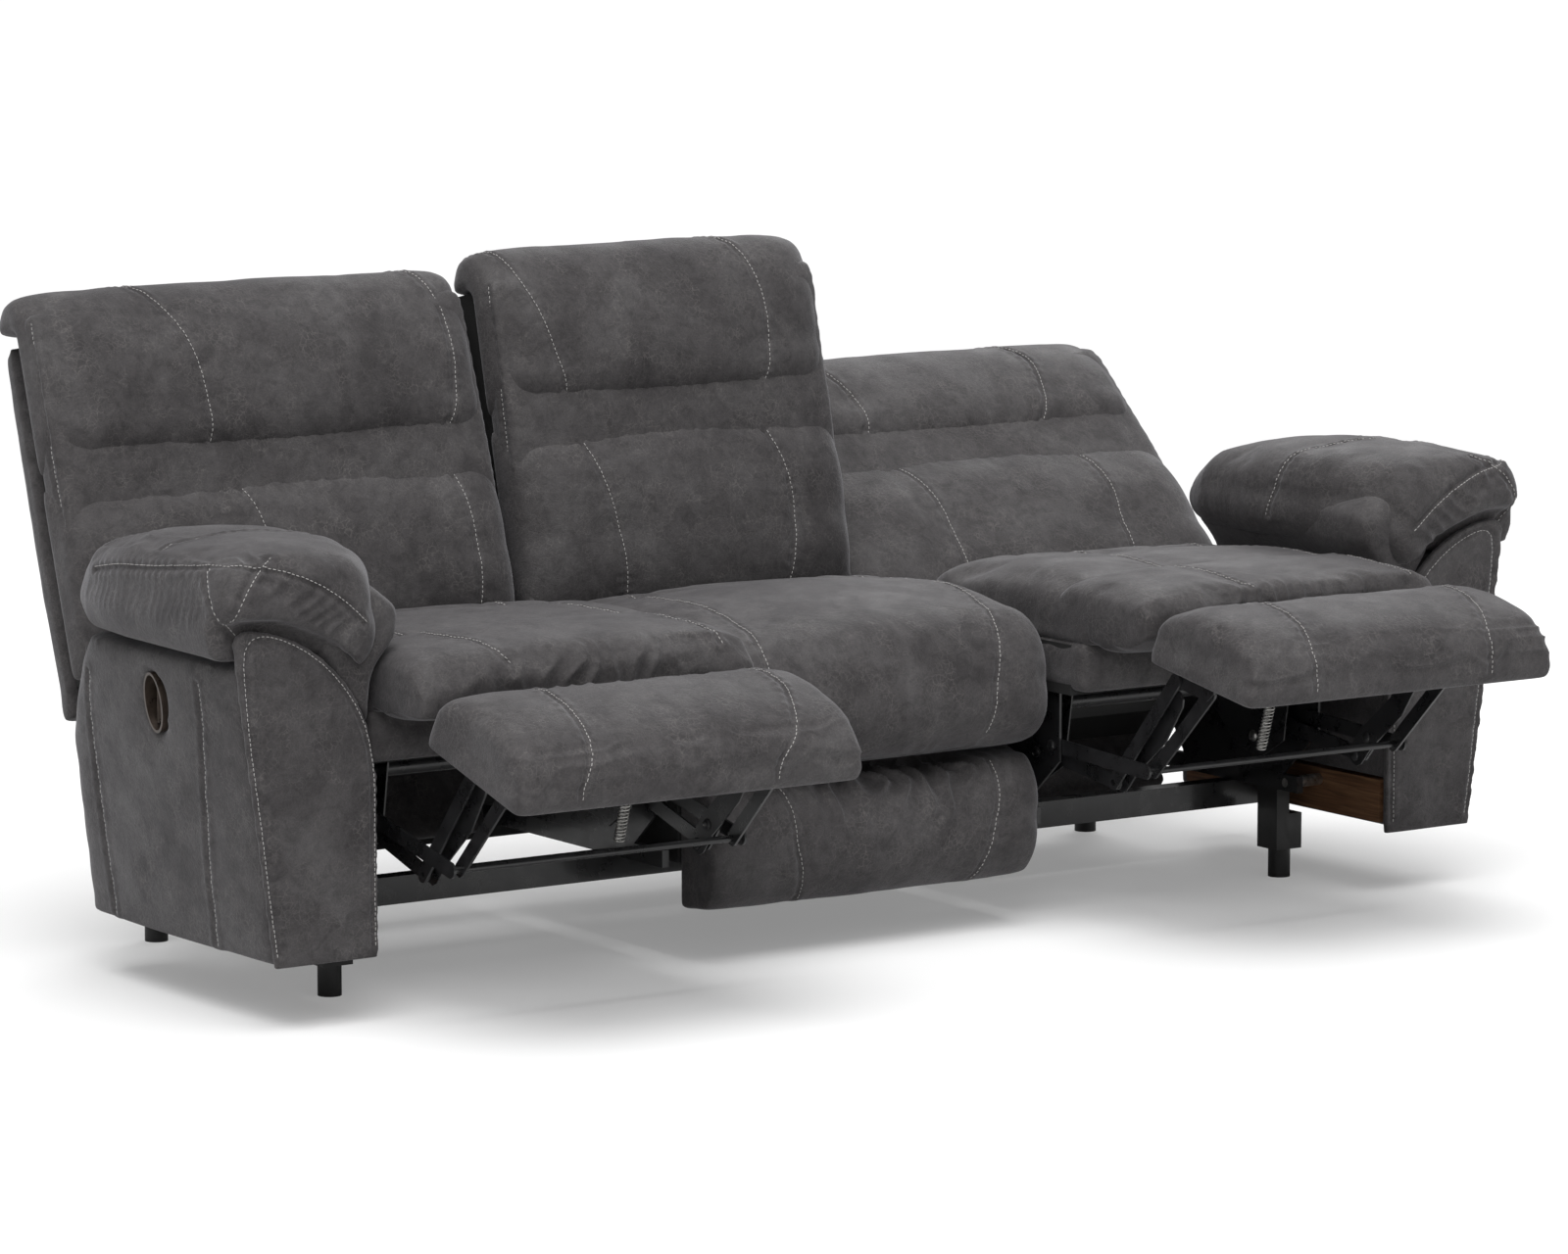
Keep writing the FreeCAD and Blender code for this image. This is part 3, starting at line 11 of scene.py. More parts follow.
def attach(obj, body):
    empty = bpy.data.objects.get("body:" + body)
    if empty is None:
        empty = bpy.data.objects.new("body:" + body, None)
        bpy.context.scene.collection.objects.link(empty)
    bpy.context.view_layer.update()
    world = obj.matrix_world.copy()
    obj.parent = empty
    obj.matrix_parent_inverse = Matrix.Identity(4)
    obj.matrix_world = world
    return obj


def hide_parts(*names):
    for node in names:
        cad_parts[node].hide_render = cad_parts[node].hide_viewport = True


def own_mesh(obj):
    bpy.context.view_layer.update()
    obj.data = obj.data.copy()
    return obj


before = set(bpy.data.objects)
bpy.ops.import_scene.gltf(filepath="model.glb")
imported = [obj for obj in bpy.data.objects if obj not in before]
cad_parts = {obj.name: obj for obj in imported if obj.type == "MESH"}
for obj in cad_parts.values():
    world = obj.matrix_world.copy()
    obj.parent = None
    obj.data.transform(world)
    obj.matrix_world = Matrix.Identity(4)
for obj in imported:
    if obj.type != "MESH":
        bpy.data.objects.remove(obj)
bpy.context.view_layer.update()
scene = bpy.context.scene

FRONT_Y = -0.326
PIVOT_Z = 0.330
BACKS = {"left": (0.17398, 18.0), "middle": (0.1806, 13.0), "right": (0.1356, 47.0)}
SHIFT = {"left": 0.0066176, "middle": 0.0, "right": 0.045}
BACK_BODY = {"left": "left_back", "middle": "base", "right": "right_back"}
SIDES = (("left", -1), ("right", 1))
SEAT_X = 0.595
SEAT_HALF = 0.277
LINKAGE_X = 0.576
PLATE_GAP = 0.241

# Degrees: a footrest's whole travel, and how far each one is from fully open in the photo.
LIFT_TRAVEL = 117.2
LIFT_SHORT = {"left": 9.46, "right": 0.0}
BOARD_SLOPE = 9.5
BOARD_SWING = 80.5


# Values that vary over space, the same on every run.

LATTICE = np.random.default_rng(11).random((32, 32, 32)) * 2 - 1


def wobble(points, cell, shift=0.0):
    """Smooth random values between -1 and 1 with a typical size of cell metres."""
    p = np.asarray(points) / cell + shift
    low = np.floor(p).astype(int)
    f = p - low
    f = f * f * (3 - 2 * f)
    total = np.zeros(len(p))
    for dx in (0, 1):
        for dy in (0, 1):
            for dz in (0, 1):
                weight = (np.where(dx, f[:, 0], 1 - f[:, 0]) * np.where(dy, f[:, 1], 1 - f[:, 1])
                          * np.where(dz, f[:, 2], 1 - f[:, 2]))
                total += weight * LATTICE[(low[:, 0] + dx) % 32, (low[:, 1] + dy) % 32,
                                          (low[:, 2] + dz) % 32]
    return total


def ramp(values, low, high):
    t = np.clip((np.asarray(values) - low) / (high - low), 0, 1)
    return t * t * (3 - 2 * t)


# Materials.

def new_material(name, **settings):
    material = bpy.data.materials.new(name)
    material.use_nodes = True
    shader = material.node_tree.nodes["Principled BSDF"]
    for key, value in settings.items():
        shader.inputs[key.replace("_", " ")].default_value = value
    return material, material.node_tree, shader


def node(tree, kind, **settings):
    item = tree.nodes.new(kind)
    for key, value in settings.items():
        if hasattr(item, key):
            setattr(item, key, value)
        else:
            item.inputs[key.replace("_", " ")].default_value = value
    return item


def ramp_node(tree, stops):
    item = tree.nodes.new("ShaderNodeValToRGB")
    while len(item.color_ramp.elements) < len(stops):
        item.color_ramp.elements.new(0.5)
    for element, (place, colour) in zip(item.color_ramp.elements, stops):
        element.position = place
        element.color = (*colour, 1)
    return item


def mix(tree, kind, factor, a, b):
    item = tree.nodes.new("ShaderNodeMix")
    item.data_type = "RGBA"
    item.blend_type = kind
    for socket, value in ((item.inputs[0], factor), (item.inputs[6], a), (item.inputs[7], b)):
        if hasattr(value, "is_output"):
            tree.links.new(value, socket)
        else:
            socket.default_value = value
    return item.outputs[2]


def add_bump(tree, shader, height, strength, distance):
    bump = tree.nodes.new("ShaderNodeBump")
    bump.inputs["Strength"].default_value = strength
    bump.inputs["Distance"].default_value = distance
    tree.links.new(height, bump.inputs["Height"])
    tree.links.new(bump.outputs["Normal"], shader.inputs["Normal"])


def suede():
    """Mottled suede-look fabric: dark and pale clouds, fine pale veins, a soft nap."""
    material, tree, shader = new_material("suede", Sheen_Weight=0.32, Sheen_Roughness=0.40,
                                          Specular_IOR_Level=0.28)
    shader.inputs["Sheen Tint"].default_value = (0.72, 0.72, 0.76, 1)
    place = node(tree, "ShaderNodeTexCoord").outputs["Object"]
    link = tree.links.new

    def noise(scale, detail, rough, distort=0.0):
        item = node(tree, "ShaderNodeTexNoise", Scale=scale, Detail=detail, Roughness=rough,
                    Distortion=distort)
        link(place, item.inputs["Vector"])
        return item.outputs["Fac"]

    clouds = ramp_node(tree, ((0.30, (0.036, 0.033, 0.034)), (0.48, (0.056, 0.052, 0.053)),
                              (0.60, (0.070, 0.066, 0.067)), (0.78, (0.093, 0.089, 0.090))))
    link(noise(8.0, 8.0, 0.66, 0.5), clouds.inputs[0])
    blotch = ramp_node(tree, ((0.34, (0.62, 0.62, 0.62)), (0.52, (1, 1, 1)),
                              (0.70, (1.22, 1.22, 1.22))))
    link(noise(48.0, 6.0, 0.70, 0.9), blotch.inputs[0])
    colour = mix(tree, "MULTIPLY", 0.75, clouds.outputs[0], blotch.outputs[0])
    warp = node(tree, "ShaderNodeTexNoise", Scale=26.0, Detail=4.0, Roughness=0.6)
    link(place, warp.inputs["Vector"])
    shifted = tree.nodes.new("ShaderNodeVectorMath")
    shifted.operation = "MULTIPLY_ADD"
    link(warp.outputs["Color"], shifted.inputs[0])
    shifted.inputs[1].default_value = (0.036, 0.036, 0.036)
    link(place, shifted.inputs[2])
    cracks = node(tree, "ShaderNodeTexVoronoi", feature="DISTANCE_TO_EDGE", Scale=105.0)
    link(shifted.outputs[0], cracks.inputs["Vector"])
    vein = ramp_node(tree, ((0.0, (0.62, 0.62, 0.62)), (0.04, (0.22, 0.22, 0.22)),
                            (0.10, (0, 0, 0))))
    link(cracks.outputs["Distance"], vein.inputs[0])
    patch = ramp_node(tree, ((0.44, (0, 0, 0)), (0.66, (1, 1, 1))))
    link(noise(24.0, 4.0, 0.6, 0.6), patch.inputs[0])
    veined = mix(tree, "MULTIPLY", 1.0, vein.outputs[0], patch.outputs[0])
    colour = mix(tree, "MIX", veined, colour, (0.135, 0.126, 0.122, 1))
    speck = ramp_node(tree, ((0.35, (0.82, 0.82, 0.82)), (0.65, (1.14, 1.14, 1.14))))
    link(noise(420.0, 2.0, 0.7), speck.inputs[0])
    colour = mix(tree, "MULTIPLY", 0.85, colour, speck.outputs[0])
    link(colour, shader.inputs["Base Color"])
    rough = ramp_node(tree, ((0.3, (0.84, 0.84, 0.84)), (0.7, (0.60, 0.60, 0.60))))
    link(noise(13.0, 5.0, 0.6), rough.inputs[0])
    link(rough.outputs[0], shader.inputs["Roughness"])
    grain = mix(tree, "MIX", 0.45, noise(520.0, 3.0, 0.7), noise(90.0, 5.0, 0.65, 0.7))
    grain = mix(tree, "SUBTRACT", 0.35, grain, vein.outputs[0])
    add_bump(tree, shader, grain, 0.42, 0.0022)
    return material


def paint(name, colour, rough, scale, metallic=0.0, bump=0.06, coat=0.0, spread=0.35):
    """Enamel, plating or moulded plastic with a faint unevenness."""
    material, tree, shader = new_material(name, Metallic=metallic, Coat_Weight=coat,
                                          Coat_Roughness=0.12)
    place = node(tree, "ShaderNodeTexCoord").outputs["Object"]
    item = node(tree, "ShaderNodeTexNoise", Scale=scale, Detail=5.0, Roughness=0.6)
    tree.links.new(place, item.inputs["Vector"])
    low = tuple(c * (1 - spread) for c in colour)
    high = tuple(min(1, c * (1 + spread)) for c in colour)
    stops = ramp_node(tree, ((0.35, low), (0.65, high)))
    tree.links.new(item.outputs["Fac"], stops.inputs[0])
    tree.links.new(stops.outputs[0], shader.inputs["Base Color"])
    dull = ramp_node(tree, ((0.35, (rough * 0.8,) * 3), (0.7, (min(1, rough * 1.35),) * 3)))
    tree.links.new(item.outputs["Fac"], dull.inputs[0])
    tree.links.new(dull.outputs[0], shader.inputs["Roughness"])
    add_bump(tree, shader, item.outputs["Fac"], bump, 0.001)
    return material


def timber():
    material, tree, shader = new_material("timber", Specular_IOR_Level=0.3)
    place = node(tree, "ShaderNodeTexCoord").outputs["Object"]
    stretch = node(tree, "ShaderNodeMapping")
    stretch.inputs["Scale"].default_value = (14.0, 3.0, 60.0)
    tree.links.new(place, stretch.inputs["Vector"])
    item = node(tree, "ShaderNodeTexNoise", Scale=2.2, Detail=8.0, Roughness=0.62, Distortion=1.1)
    tree.links.new(stretch.outputs[0], item.inputs["Vector"])
    stops = ramp_node(tree, ((0.30, (0.060, 0.026, 0.012)), (0.50, (0.150, 0.072, 0.034)),
                             (0.72, (0.250, 0.140, 0.070))))
    tree.links.new(item.outputs["Fac"], stops.inputs[0])
    tree.links.new(stops.outputs[0], shader.inputs["Base Color"])
    dull = ramp_node(tree, ((0.3, (0.62,) * 3), (0.7, (0.82,) * 3)))
    tree.links.new(item.outputs["Fac"], dull.inputs[0])
    tree.links.new(dull.outputs[0], shader.inputs["Roughness"])
    add_bump(tree, shader, item.outputs["Fac"], 0.25, 0.001)
    return material


SUEDE = suede()
THREAD = paint("thread", (0.42, 0.41, 0.40), 0.75, 900.0, spread=0.25, bump=0.3)
STEEL = paint("black_enamel", (0.013, 0.013, 0.014), 0.30, 30.0, coat=0.35, bump=0.05)
SATIN = paint("black_plastic", (0.014, 0.014, 0.014), 0.42, 60.0, bump=0.08)
ZINC = paint("zinc", (0.50, 0.49, 0.47), 0.32, 80.0, metallic=1.0)
BRONZE = paint("bronze", (0.060, 0.045, 0.036), 0.34, 60.0, metallic=0.4, coat=0.2)
# Near-black cloth: the real dust cloth under the seat boxes, and also painted shade on the black
# board behind the mechanism.
LINING_AND_SHADE = paint("dust_cloth_and_shade", (0.012, 0.012, 0.012), 0.9, 700.0, bump=0.35)
WOOD = timber()


# Soft pieces.

def back_axes(tag):
    """Axes of a back, from its pivot: y points to the rear, z up the back."""
    pivot, lean = BACKS[tag]
    turn = Matrix.Rotation(math.radians(-lean), 4, "X")
    return Matrix.Translation((0, pivot, PIVOT_Z)) @ turn


def board_axes(tag):
    """Axes of a footrest board, from its corners: y points to the rear, z out of the board."""
    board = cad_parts["footrest_board_" + tag].data
    points = np.array([v.co for v in board.vertices])
    slope = math.radians(BOARD_SLOPE + BOARD_SWING * LIFT_SHORT[tag] / LIFT_TRAVEL)
    turn = Matrix.Rotation(slope, 4, "X")
    local = np.array(turn.inverted().to_3x3()) @ points.T
    low = Vector((0.0, local[1].max(), local[2].min()))
    return Matrix.Translation(turn @ low) @ turn


def evaluated_mesh(item):
    return bpy.data.meshes.new_from_object(
        item.evaluated_get(bpy.context.evaluated_depsgraph_get()))


def points_of(mesh):
    data = np.zeros(len(mesh.vertices) * 3, np.float32)
    mesh.vertices.foreach_get("co", data)
    return data.reshape(-1, 3).astype(float)


def set_points(mesh, points):
    mesh.vertices.foreach_set("co", np.asarray(points, np.float32).ravel())
    mesh.update()


def normals_of(mesh):
    data = np.zeros(len(mesh.vertices) * 3, np.float32)
    mesh.vertices.foreach_get("normal", data)
    return data.reshape(-1, 3).astype(float)


def modified(item, kind, **settings):
    """Applies one modifier to an object."""
    modifier = item.modifiers.new("step", kind)
    for key, value in settings.items():
        setattr(modifier, key, value)
    mesh = evaluated_mesh(item)
    item.modifiers.clear()
    old = item.data
    item.data = mesh
    bpy.data.meshes.remove(old)


LINE_STEP = 0.004


def curve_through(controls, step=LINE_STEP):
    """Points at an even step along a smooth line through the controls."""
    c = np.asarray(controls, float)
    c = np.vstack([2 * c[0] - c[1], c, 2 * c[-1] - c[-2]])
    out = []
    for i in range(1, len(c) - 2):
        count = max(2, int(np.linalg.norm(c[i + 1] - c[i]) / step * 2))
        t = np.linspace(0, 1, count, endpoint=False)[:, None]
        out.append(0.5 * ((2 * c[i]) + (c[i + 1] - c[i - 1]) * t
                          + (2 * c[i - 1] - 5 * c[i] + 4 * c[i + 1] - c[i + 2]) * t ** 2
                          + (3 * c[i] - c[i - 1] - 3 * c[i + 1] + c[i + 2]) * t ** 3))
    line = np.vstack(out + [c[-2][None]])
    return even(line, step)


def even(line, step):
    gaps = np.linalg.norm(np.diff(line, axis=0), axis=1)
    along = np.concatenate([[0], np.cumsum(gaps)])
    count = max(2, int(along[-1] / step))
    marks = np.linspace(0, along[-1], count)
    return np.stack([np.interp(marks, along, line[:, k]) for k in range(3)], 1)


def evened(line, passes):
    """The line smoothed in place, with its ends kept."""
    for _ in range(passes):
        line[1:-1] = 0.25 * line[:-2] + 0.5 * line[1:-1] + 0.25 * line[2:]
    return line


def snapped(tree, line):
    """The line laid on a surface."""
    return evened(np.array([tree.find_nearest(Vector(point))[0] for point in line]), 2)


FAR = 9.0


def mesh_tree(mesh):
    return BVHTree.FromPolygons([v.co for v in mesh.vertices],
                                [p.vertices for p in mesh.polygons])


def near(points, line, reach):
    """Distance of each point from a line of points, and the nearest one's place in it.
    Points outside the line's surroundings keep the distance FAR."""
    finder = KDTree(len(line))
    for index, point in enumerate(line):
        finder.insert(point, index)
    finder.balance()
    low = line.min(0) - reach
    high = line.max(0) + reach
    inside = np.all((points > low) & (points < high), axis=1)
    far = np.full(len(points), FAR)
    which = np.zeros(len(points), int)
    for index in np.nonzero(inside)[0]:
        _, found, distance = finder.find(points[index])
        far[index] = distance
        which[index] = found
    return far, which


# Metres: where a stitch looks for the finished surface, and how far it stands off it.
CAST_FROM = 0.012
CAST_LENGTH = 0.03
THREAD_RISE = 0.0003


def stitch_mesh(name, rows, length=0.0046, radius=0.00062):
    """Short rounded stitches, one for each place, direction and normal."""
    ring = 6
    shape = []
    for along, size in ((-0.5, 0.35), (-0.38, 1.0), (0.38, 1.0), (0.5, 0.35)):
        for k in range(ring):
            a = 2 * math.pi * k / ring
            shape.append((along * length, size * radius * math.cos(a),
                          size * radius * math.sin(a)))
    shape = np.array(shape)
    faces = []
    for level in range(3):
        for k in range(ring):
            a = level * ring + k
            b = level * ring + (k + 1) % ring
            faces.append((a, b, b + ring, a + ring))
    faces += [tuple(range(ring))[::-1], tuple(range(3 * ring, 4 * ring))]
    verts, polys = [], []
    for place, way, normal in rows:
        side = np.cross(normal, way)
        axes = np.stack([way, side, normal])
        start = len(verts) * len(shape)
        verts.append(shape @ axes + place)
        polys += [tuple(start + i for i in face) for face in faces]
    mesh = bpy.data.meshes.new(name)
    mesh.from_pydata(np.vstack(verts).tolist(), [], polys)
    mesh.polygons.foreach_set("use_smooth", [True] * len(mesh.polygons))
    return mesh


def stitch_rows(flat, tree, line, turn, offset, spacing=0.0068):
    """Stitches beside a seam line. flat is the surface before it was creased, in the
    line's own axes, and tree the finished surface."""
    line = even(line, spacing)
    normals = np.array([flat.find_nearest(Vector(point))[1] for point in line])
    for _ in range(6):
        normals[1:-1] = normals[:-2] + 2 * normals[1:-1] + normals[2:]
        normals /= np.linalg.norm(normals, axis=1)[:, None]
    ways = np.gradient(line, axis=0)
    ways -= normals * np.sum(ways * normals, axis=1)[:, None]
    ways /= np.maximum(np.linalg.norm(ways, axis=1), 1e-9)[:, None]
    beside = line + np.cross(normals, ways) * offset
    rows = []
    for point, way, normal in zip(beside, ways, normals):
        point = turn[:3, :3] @ point + turn[:3, 3]
        way = turn[:3, :3] @ way
        normal = turn[:3, :3] @ normal
        above = Vector(point + normal * CAST_FROM)
        place = tree.ray_cast(above, Vector(-normal), CAST_LENGTH)[0]
        if place is not None:
            rows.append((np.array(place) + normal * THREAD_RISE, way, normal))
    return rows


def loft(profile, stations, anchor):
    """A closed form: one outline repeated across, scaled about anchor at each station.
    Stations are place, scale along the outline's first axis, scale along its second."""
    form = bmesh.new()
    rings = []
    for x, across, upward in stations:
        rings.append([form.verts.new((x, anchor[0] + (a - anchor[0]) * across,
                                      anchor[1] + (b - anchor[1]) * upward))
                      for a, b in profile])
    count = len(profile)
    for near_ring, far_ring in zip(rings, rings[1:]):
        for k in range(count):
            form.faces.new((near_ring[k], near_ring[(k + 1) % count],
                            far_ring[(k + 1) % count], far_ring[k]))
    form.faces.new(rings[0][::-1])
    form.faces.new(rings[-1])
    bmesh.ops.triangulate(form, faces=[f for f in form.faces if len(f.verts) > 4])
    bmesh.ops.recalc_face_normals(form, faces=form.faces)
    return form


def rounded(points, steps=5):
    """An outline with each corner given as (a, b, radius) turned into a short arc."""
    out = []
    count = len(points)
    for k in range(count):
        here = np.array(points[k][:2], float)
        last = np.array(points[k - 1][:2], float) - here
        following = np.array(points[(k + 1) % count][:2], float) - here
        radius = points[k][2]
        start = here + last / np.linalg.norm(last) * radius
        end = here + following / np.linalg.norm(following) * radius
        for t in np.linspace(0, 1, steps if radius > 0 else 1):
            out.append(tuple((1 - t) ** 2 * start + 2 * t * (1 - t) * here + t * t * end))
    return out


def ends_of(low, high, ends):
    """Stations of a loft from low to high, with the same narrowing at both ends."""
    return ([(low + along, a, b) for along, a, b in ends]
            + [(high - along, a, b) for along, a, b in reversed(ends)])


def swollen(item, pinned, pressure):
    """Where an object's points come to rest as cloth under pressure."""
    group = item.vertex_groups.new(name="pin")
    for level in range(1, 11):
        chosen = np.nonzero(np.round(pinned * 10).astype(int) == level)[0]
        if len(chosen):
            group.add(chosen.tolist(), level / 10, "REPLACE")
    cloth = item.modifiers.new("cloth", "CLOTH")
    settings = cloth.settings
    settings.quality = 4
    settings.mass = 0.3
    settings.tension_stiffness = 18
    settings.compression_stiffness = 18
    settings.shear_stiffness = 6
    settings.bending_stiffness = 0.8
    settings.use_pressure = True
    settings.uniform_pressure_force = pressure
    settings.vertex_group_mass = "pin"
    settings.effector_weights.gravity = 0
    cloth.collision_settings.use_collision = False
    cloth.point_cache.frame_start = 1
    cloth.point_cache.frame_end = 16
    for step in range(1, 15):
        scene.frame_set(step)
    grown = points_of(evaluated_mesh(item))
    item.modifiers.clear()
    scene.frame_set(1)
    return grown


def capped(moved, rest, limit, sides):
    """Moves with a soft limit. Near the two sides a point hardly moves across."""
    size = np.linalg.norm(moved, axis=1)
    moved = moved * (limit * np.tanh(size / limit) / np.maximum(size, 1e-9))[:, None]
    if sides is not None:
        edge = np.minimum(np.abs(rest[:, 0] - sides[0]), np.abs(rest[:, 0] - sides[1]))
        moved[:, 0] *= 0.2 + 0.8 * ramp(edge, 0.004, 0.06)
    return moved


def add_pleats(push, points, free, pleats):
    """Gathers in a patch: its centre, the way along it, the way it fades, its half length
    and depth, how deep the gathers are and how far apart."""
    for centre, way, depth_way, size, amount, gap in pleats:
        away = points - np.array(centre)
        along = away @ np.array(way)
        down = away @ np.array(depth_way)
        inside = (ramp(down, -0.012, 0.002) * (1 - ramp(down, 0.0, size[1]))
                  * (1 - ramp(np.abs(along), 0.6 * size[0], size[0])))
        phase = along / gap + 0.9 * wobble(points, 0.05, 21.0) + 0.35 * down / gap * wobble(
            points * np.array([0.2, 0.2, 0.2]), 0.05, 5.0)
        push += -amount * free * inside * np.abs(np.sin(math.pi * phase)) ** 0.7


def add_groove(push, points, free, line, deep):
    """A seam: a groove with a low ridge on both sides, and ripples that fade from it."""
    far, which = near(points, line, 0.022)
    push += (-deep * np.exp(-(far / 0.0038) ** 2)
             + 0.0012 * np.exp(-((far - 0.0095) / 0.005) ** 2))
    along = which * LINE_STEP * 2 * math.pi / 0.021
    ripple = np.sin(along + 6 * wobble(points, 0.06, 2.0))
    push += -0.0007 * free * ripple * (far > 0.003) * (1 - ramp(far, 0.005, 0.020))


def cad_form(name, world):
    """A CAD solid's surface in local axes."""
    form = bmesh.new()
    form.from_mesh(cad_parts[name].data)
    bmesh.ops.remove_doubles(form, verts=form.verts, dist=2e-5)
    form.transform(world.inverted())
    return form


def soft_piece(tag, cad, body, axes, held, seams=(), cap=0.010, shrink=0.004, voxel=0.0085,
               pleats=(), uneven=0.0016, sides=None, offset=0.0045, thread=True,
               pressure=4.0, deep=0.0034, form=None):
    """A padded piece grown from a CAD solid or a form: remeshed, inflated as cloth with its
    seams held down, then creased, pleated and stitched. held gives how freely a local
    point moves. Gives the piece, and its stitching where it has any."""
    world = Matrix(axes)
    source = form if form is not None else cad_form(cad, world)
    mesh = bpy.data.meshes.new(tag)
    source.to_mesh(mesh)
    source.free()
    item = bpy.data.objects.new(tag, mesh)
    scene.collection.objects.link(item)
    modified(item, "REMESH", mode="VOXEL", voxel_size=voxel)
    modified(item, "SMOOTH", factor=0.5, iterations=4)

    rest = points_of(item.data)
    normals = normals_of(item.data)
    tree = mesh_tree(item.data)
    lines = [snapped(tree, curve_through(controls)) for controls in seams]
    free = np.clip(held(rest), 0, 1)
    pinned = 1 - free
    for line in lines:
        far, _ = near(rest, line, voxel * 1.6)
        pinned = np.maximum(pinned, 1 - ramp(far, voxel * 0.5, voxel * 1.3))
    start = rest - normals * (shrink * free)[:, None]
    set_points(item.data, start)
    grown = swollen(item, pinned, pressure)
    set_points(item.data, start + capped(grown - start, rest, cap + shrink, sides))
    modified(item, "SMOOTH", factor=0.35, iterations=2)
    modified(item, "SUBSURF", levels=1, render_levels=1)

    points = points_of(item.data)
    normals = normals_of(item.data)
    free = np.clip(held(points), 0, 1)
    push = free * (uneven * wobble(points, 0.085, 3.1)
                   + 0.45 * uneven * wobble(points, 0.034, 8.7))
    add_pleats(push, points, free, pleats)
    flat = mesh_tree(item.data)
    lines = [evened(snapped(flat, line), 30) for line in lines]
    for line in lines:
        add_groove(push, points, free, line, deep)
    set_points(item.data, points + normals * push[:, None])
    item.data.transform(world)
    item.data.polygons.foreach_set("use_smooth", [True] * len(item.data.polygons))
    item.data.materials.clear()
    item.data.materials.append(SUEDE)
    item.data.update()
    for replaced in (cad if isinstance(cad, tuple) else (cad,)):
        if replaced:
            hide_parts(replaced)
    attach(item, body)
    if not thread or not lines:
        return [item]

    finished = mesh_tree(item.data)
    turn = np.array(world)
    rows = []
    for line in lines:
        rows += stitch_rows(flat, finished, line, turn, offset)
    threads = bpy.data.objects.new(tag + "_stitching", stitch_mesh(tag + "_stitching", rows))
    scene.collection.objects.link(threads)
    threads.data.materials.append(THREAD)
    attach(threads, body)
    return [item, threads]


# Backs.

def back_line(points):
    """Points given as across, forward and up a back, in the back's own axes."""
    return [(x, -forward, up) for x, forward, up in points]


HEAD_SEAMS = {
    "left": (
        ((-0.862, -0.13, 0.67), (-0.85, -0.07, 0.69), (-0.838, -0.03, 0.665), (-0.812, 0.0, 0.61),
         (-0.796, 0.01, 0.56), (-0.786, 0.01, 0.49), (-0.786, 0.01, 0.44), (-0.794, -0.01, 0.398)),
        ((-0.40, -0.13, 0.67), (-0.386, -0.07, 0.69), (-0.374, -0.03, 0.665), (-0.361, 0.0, 0.61),
         (-0.361, 0.01, 0.55), (-0.368, 0.01, 0.475), (-0.384, 0.01, 0.42),
          (-0.396, -0.01, 0.398))),
    "middle": (
        ((-0.266, -0.13, 0.68), (-0.262, -0.07, 0.70), (-0.256, -0.03, 0.67), (-0.243, 0.0, 0.62),
         (-0.223, 0.01, 0.56), (-0.207, 0.01, 0.50), (-0.196, 0.01, 0.455),
          (-0.194, -0.01, 0.426)),
        ((0.12, -0.13, 0.68), (0.14, -0.07, 0.70), (0.154, -0.03, 0.67), (0.166, 0.0, 0.62),
         (0.170, 0.01, 0.55), (0.167, 0.01, 0.49), (0.159, 0.01, 0.45), (0.150, -0.01, 0.426))),
    "right": (
        ((0.40, -0.13, 0.67), (0.425, -0.07, 0.69), (0.445, -0.03, 0.655), (0.470, 0.0, 0.59),
         (0.490, 0.01, 0.53), (0.490, 0.01, 0.48), (0.478, -0.01, 0.442)),
        ((0.80, -0.13, 0.67), (0.825, -0.07, 0.69), (0.845, -0.03, 0.66), (0.864, 0.0, 0.61),
         (0.857, 0.01, 0.55), (0.836, 0.01, 0.49), (0.808, -0.01, 0.442))),
}
LUMBAR_SEAMS = {
    "left": (
        ((-0.764, -0.01, 0.386), (-0.748, 0.01, 0.35), (-0.734, 0.02, 0.30), (-0.729, 0.02, 0.22),
         (-0.735, 0.0, 0.13)),
        ((-0.401, -0.01, 0.386), (-0.391, 0.01, 0.35), (-0.384, 0.02, 0.29), (-0.383, 0.02, 0.21),
         (-0.392, 0.0, 0.13))),
    "middle": (
        ((-0.192, -0.01, 0.414), (-0.176, 0.01, 0.37), (-0.160, 0.02, 0.31), (-0.147, 0.02, 0.25),
         (-0.140, 0.02, 0.19), (-0.138, 0.0, 0.13)),
        ((0.136, -0.01, 0.414), (0.150, 0.01, 0.37), (0.164, 0.02, 0.31), (0.169, 0.02, 0.25),
         (0.162, 0.02, 0.19), (0.150, 0.0, 0.13))),
    "right": (
        ((0.494, -0.01, 0.43), (0.510, 0.01, 0.38), (0.522, 0.02, 0.31), (0.522, 0.02, 0.24),
         (0.517, 0.0, 0.14)),
        ((0.838, -0.01, 0.43), (0.858, 0.01, 0.38), (0.862, 0.02, 0.31), (0.850, 0.02, 0.25),
         (0.834, 0.0, 0.14))),
}
SPAN = {"left": (-1.034, -0.302), "middle": (-0.296, 0.296), "right": (0.302, 1.034)}
CREASE = {"left": 0.392, "middle": 0.420, "right": 0.436}


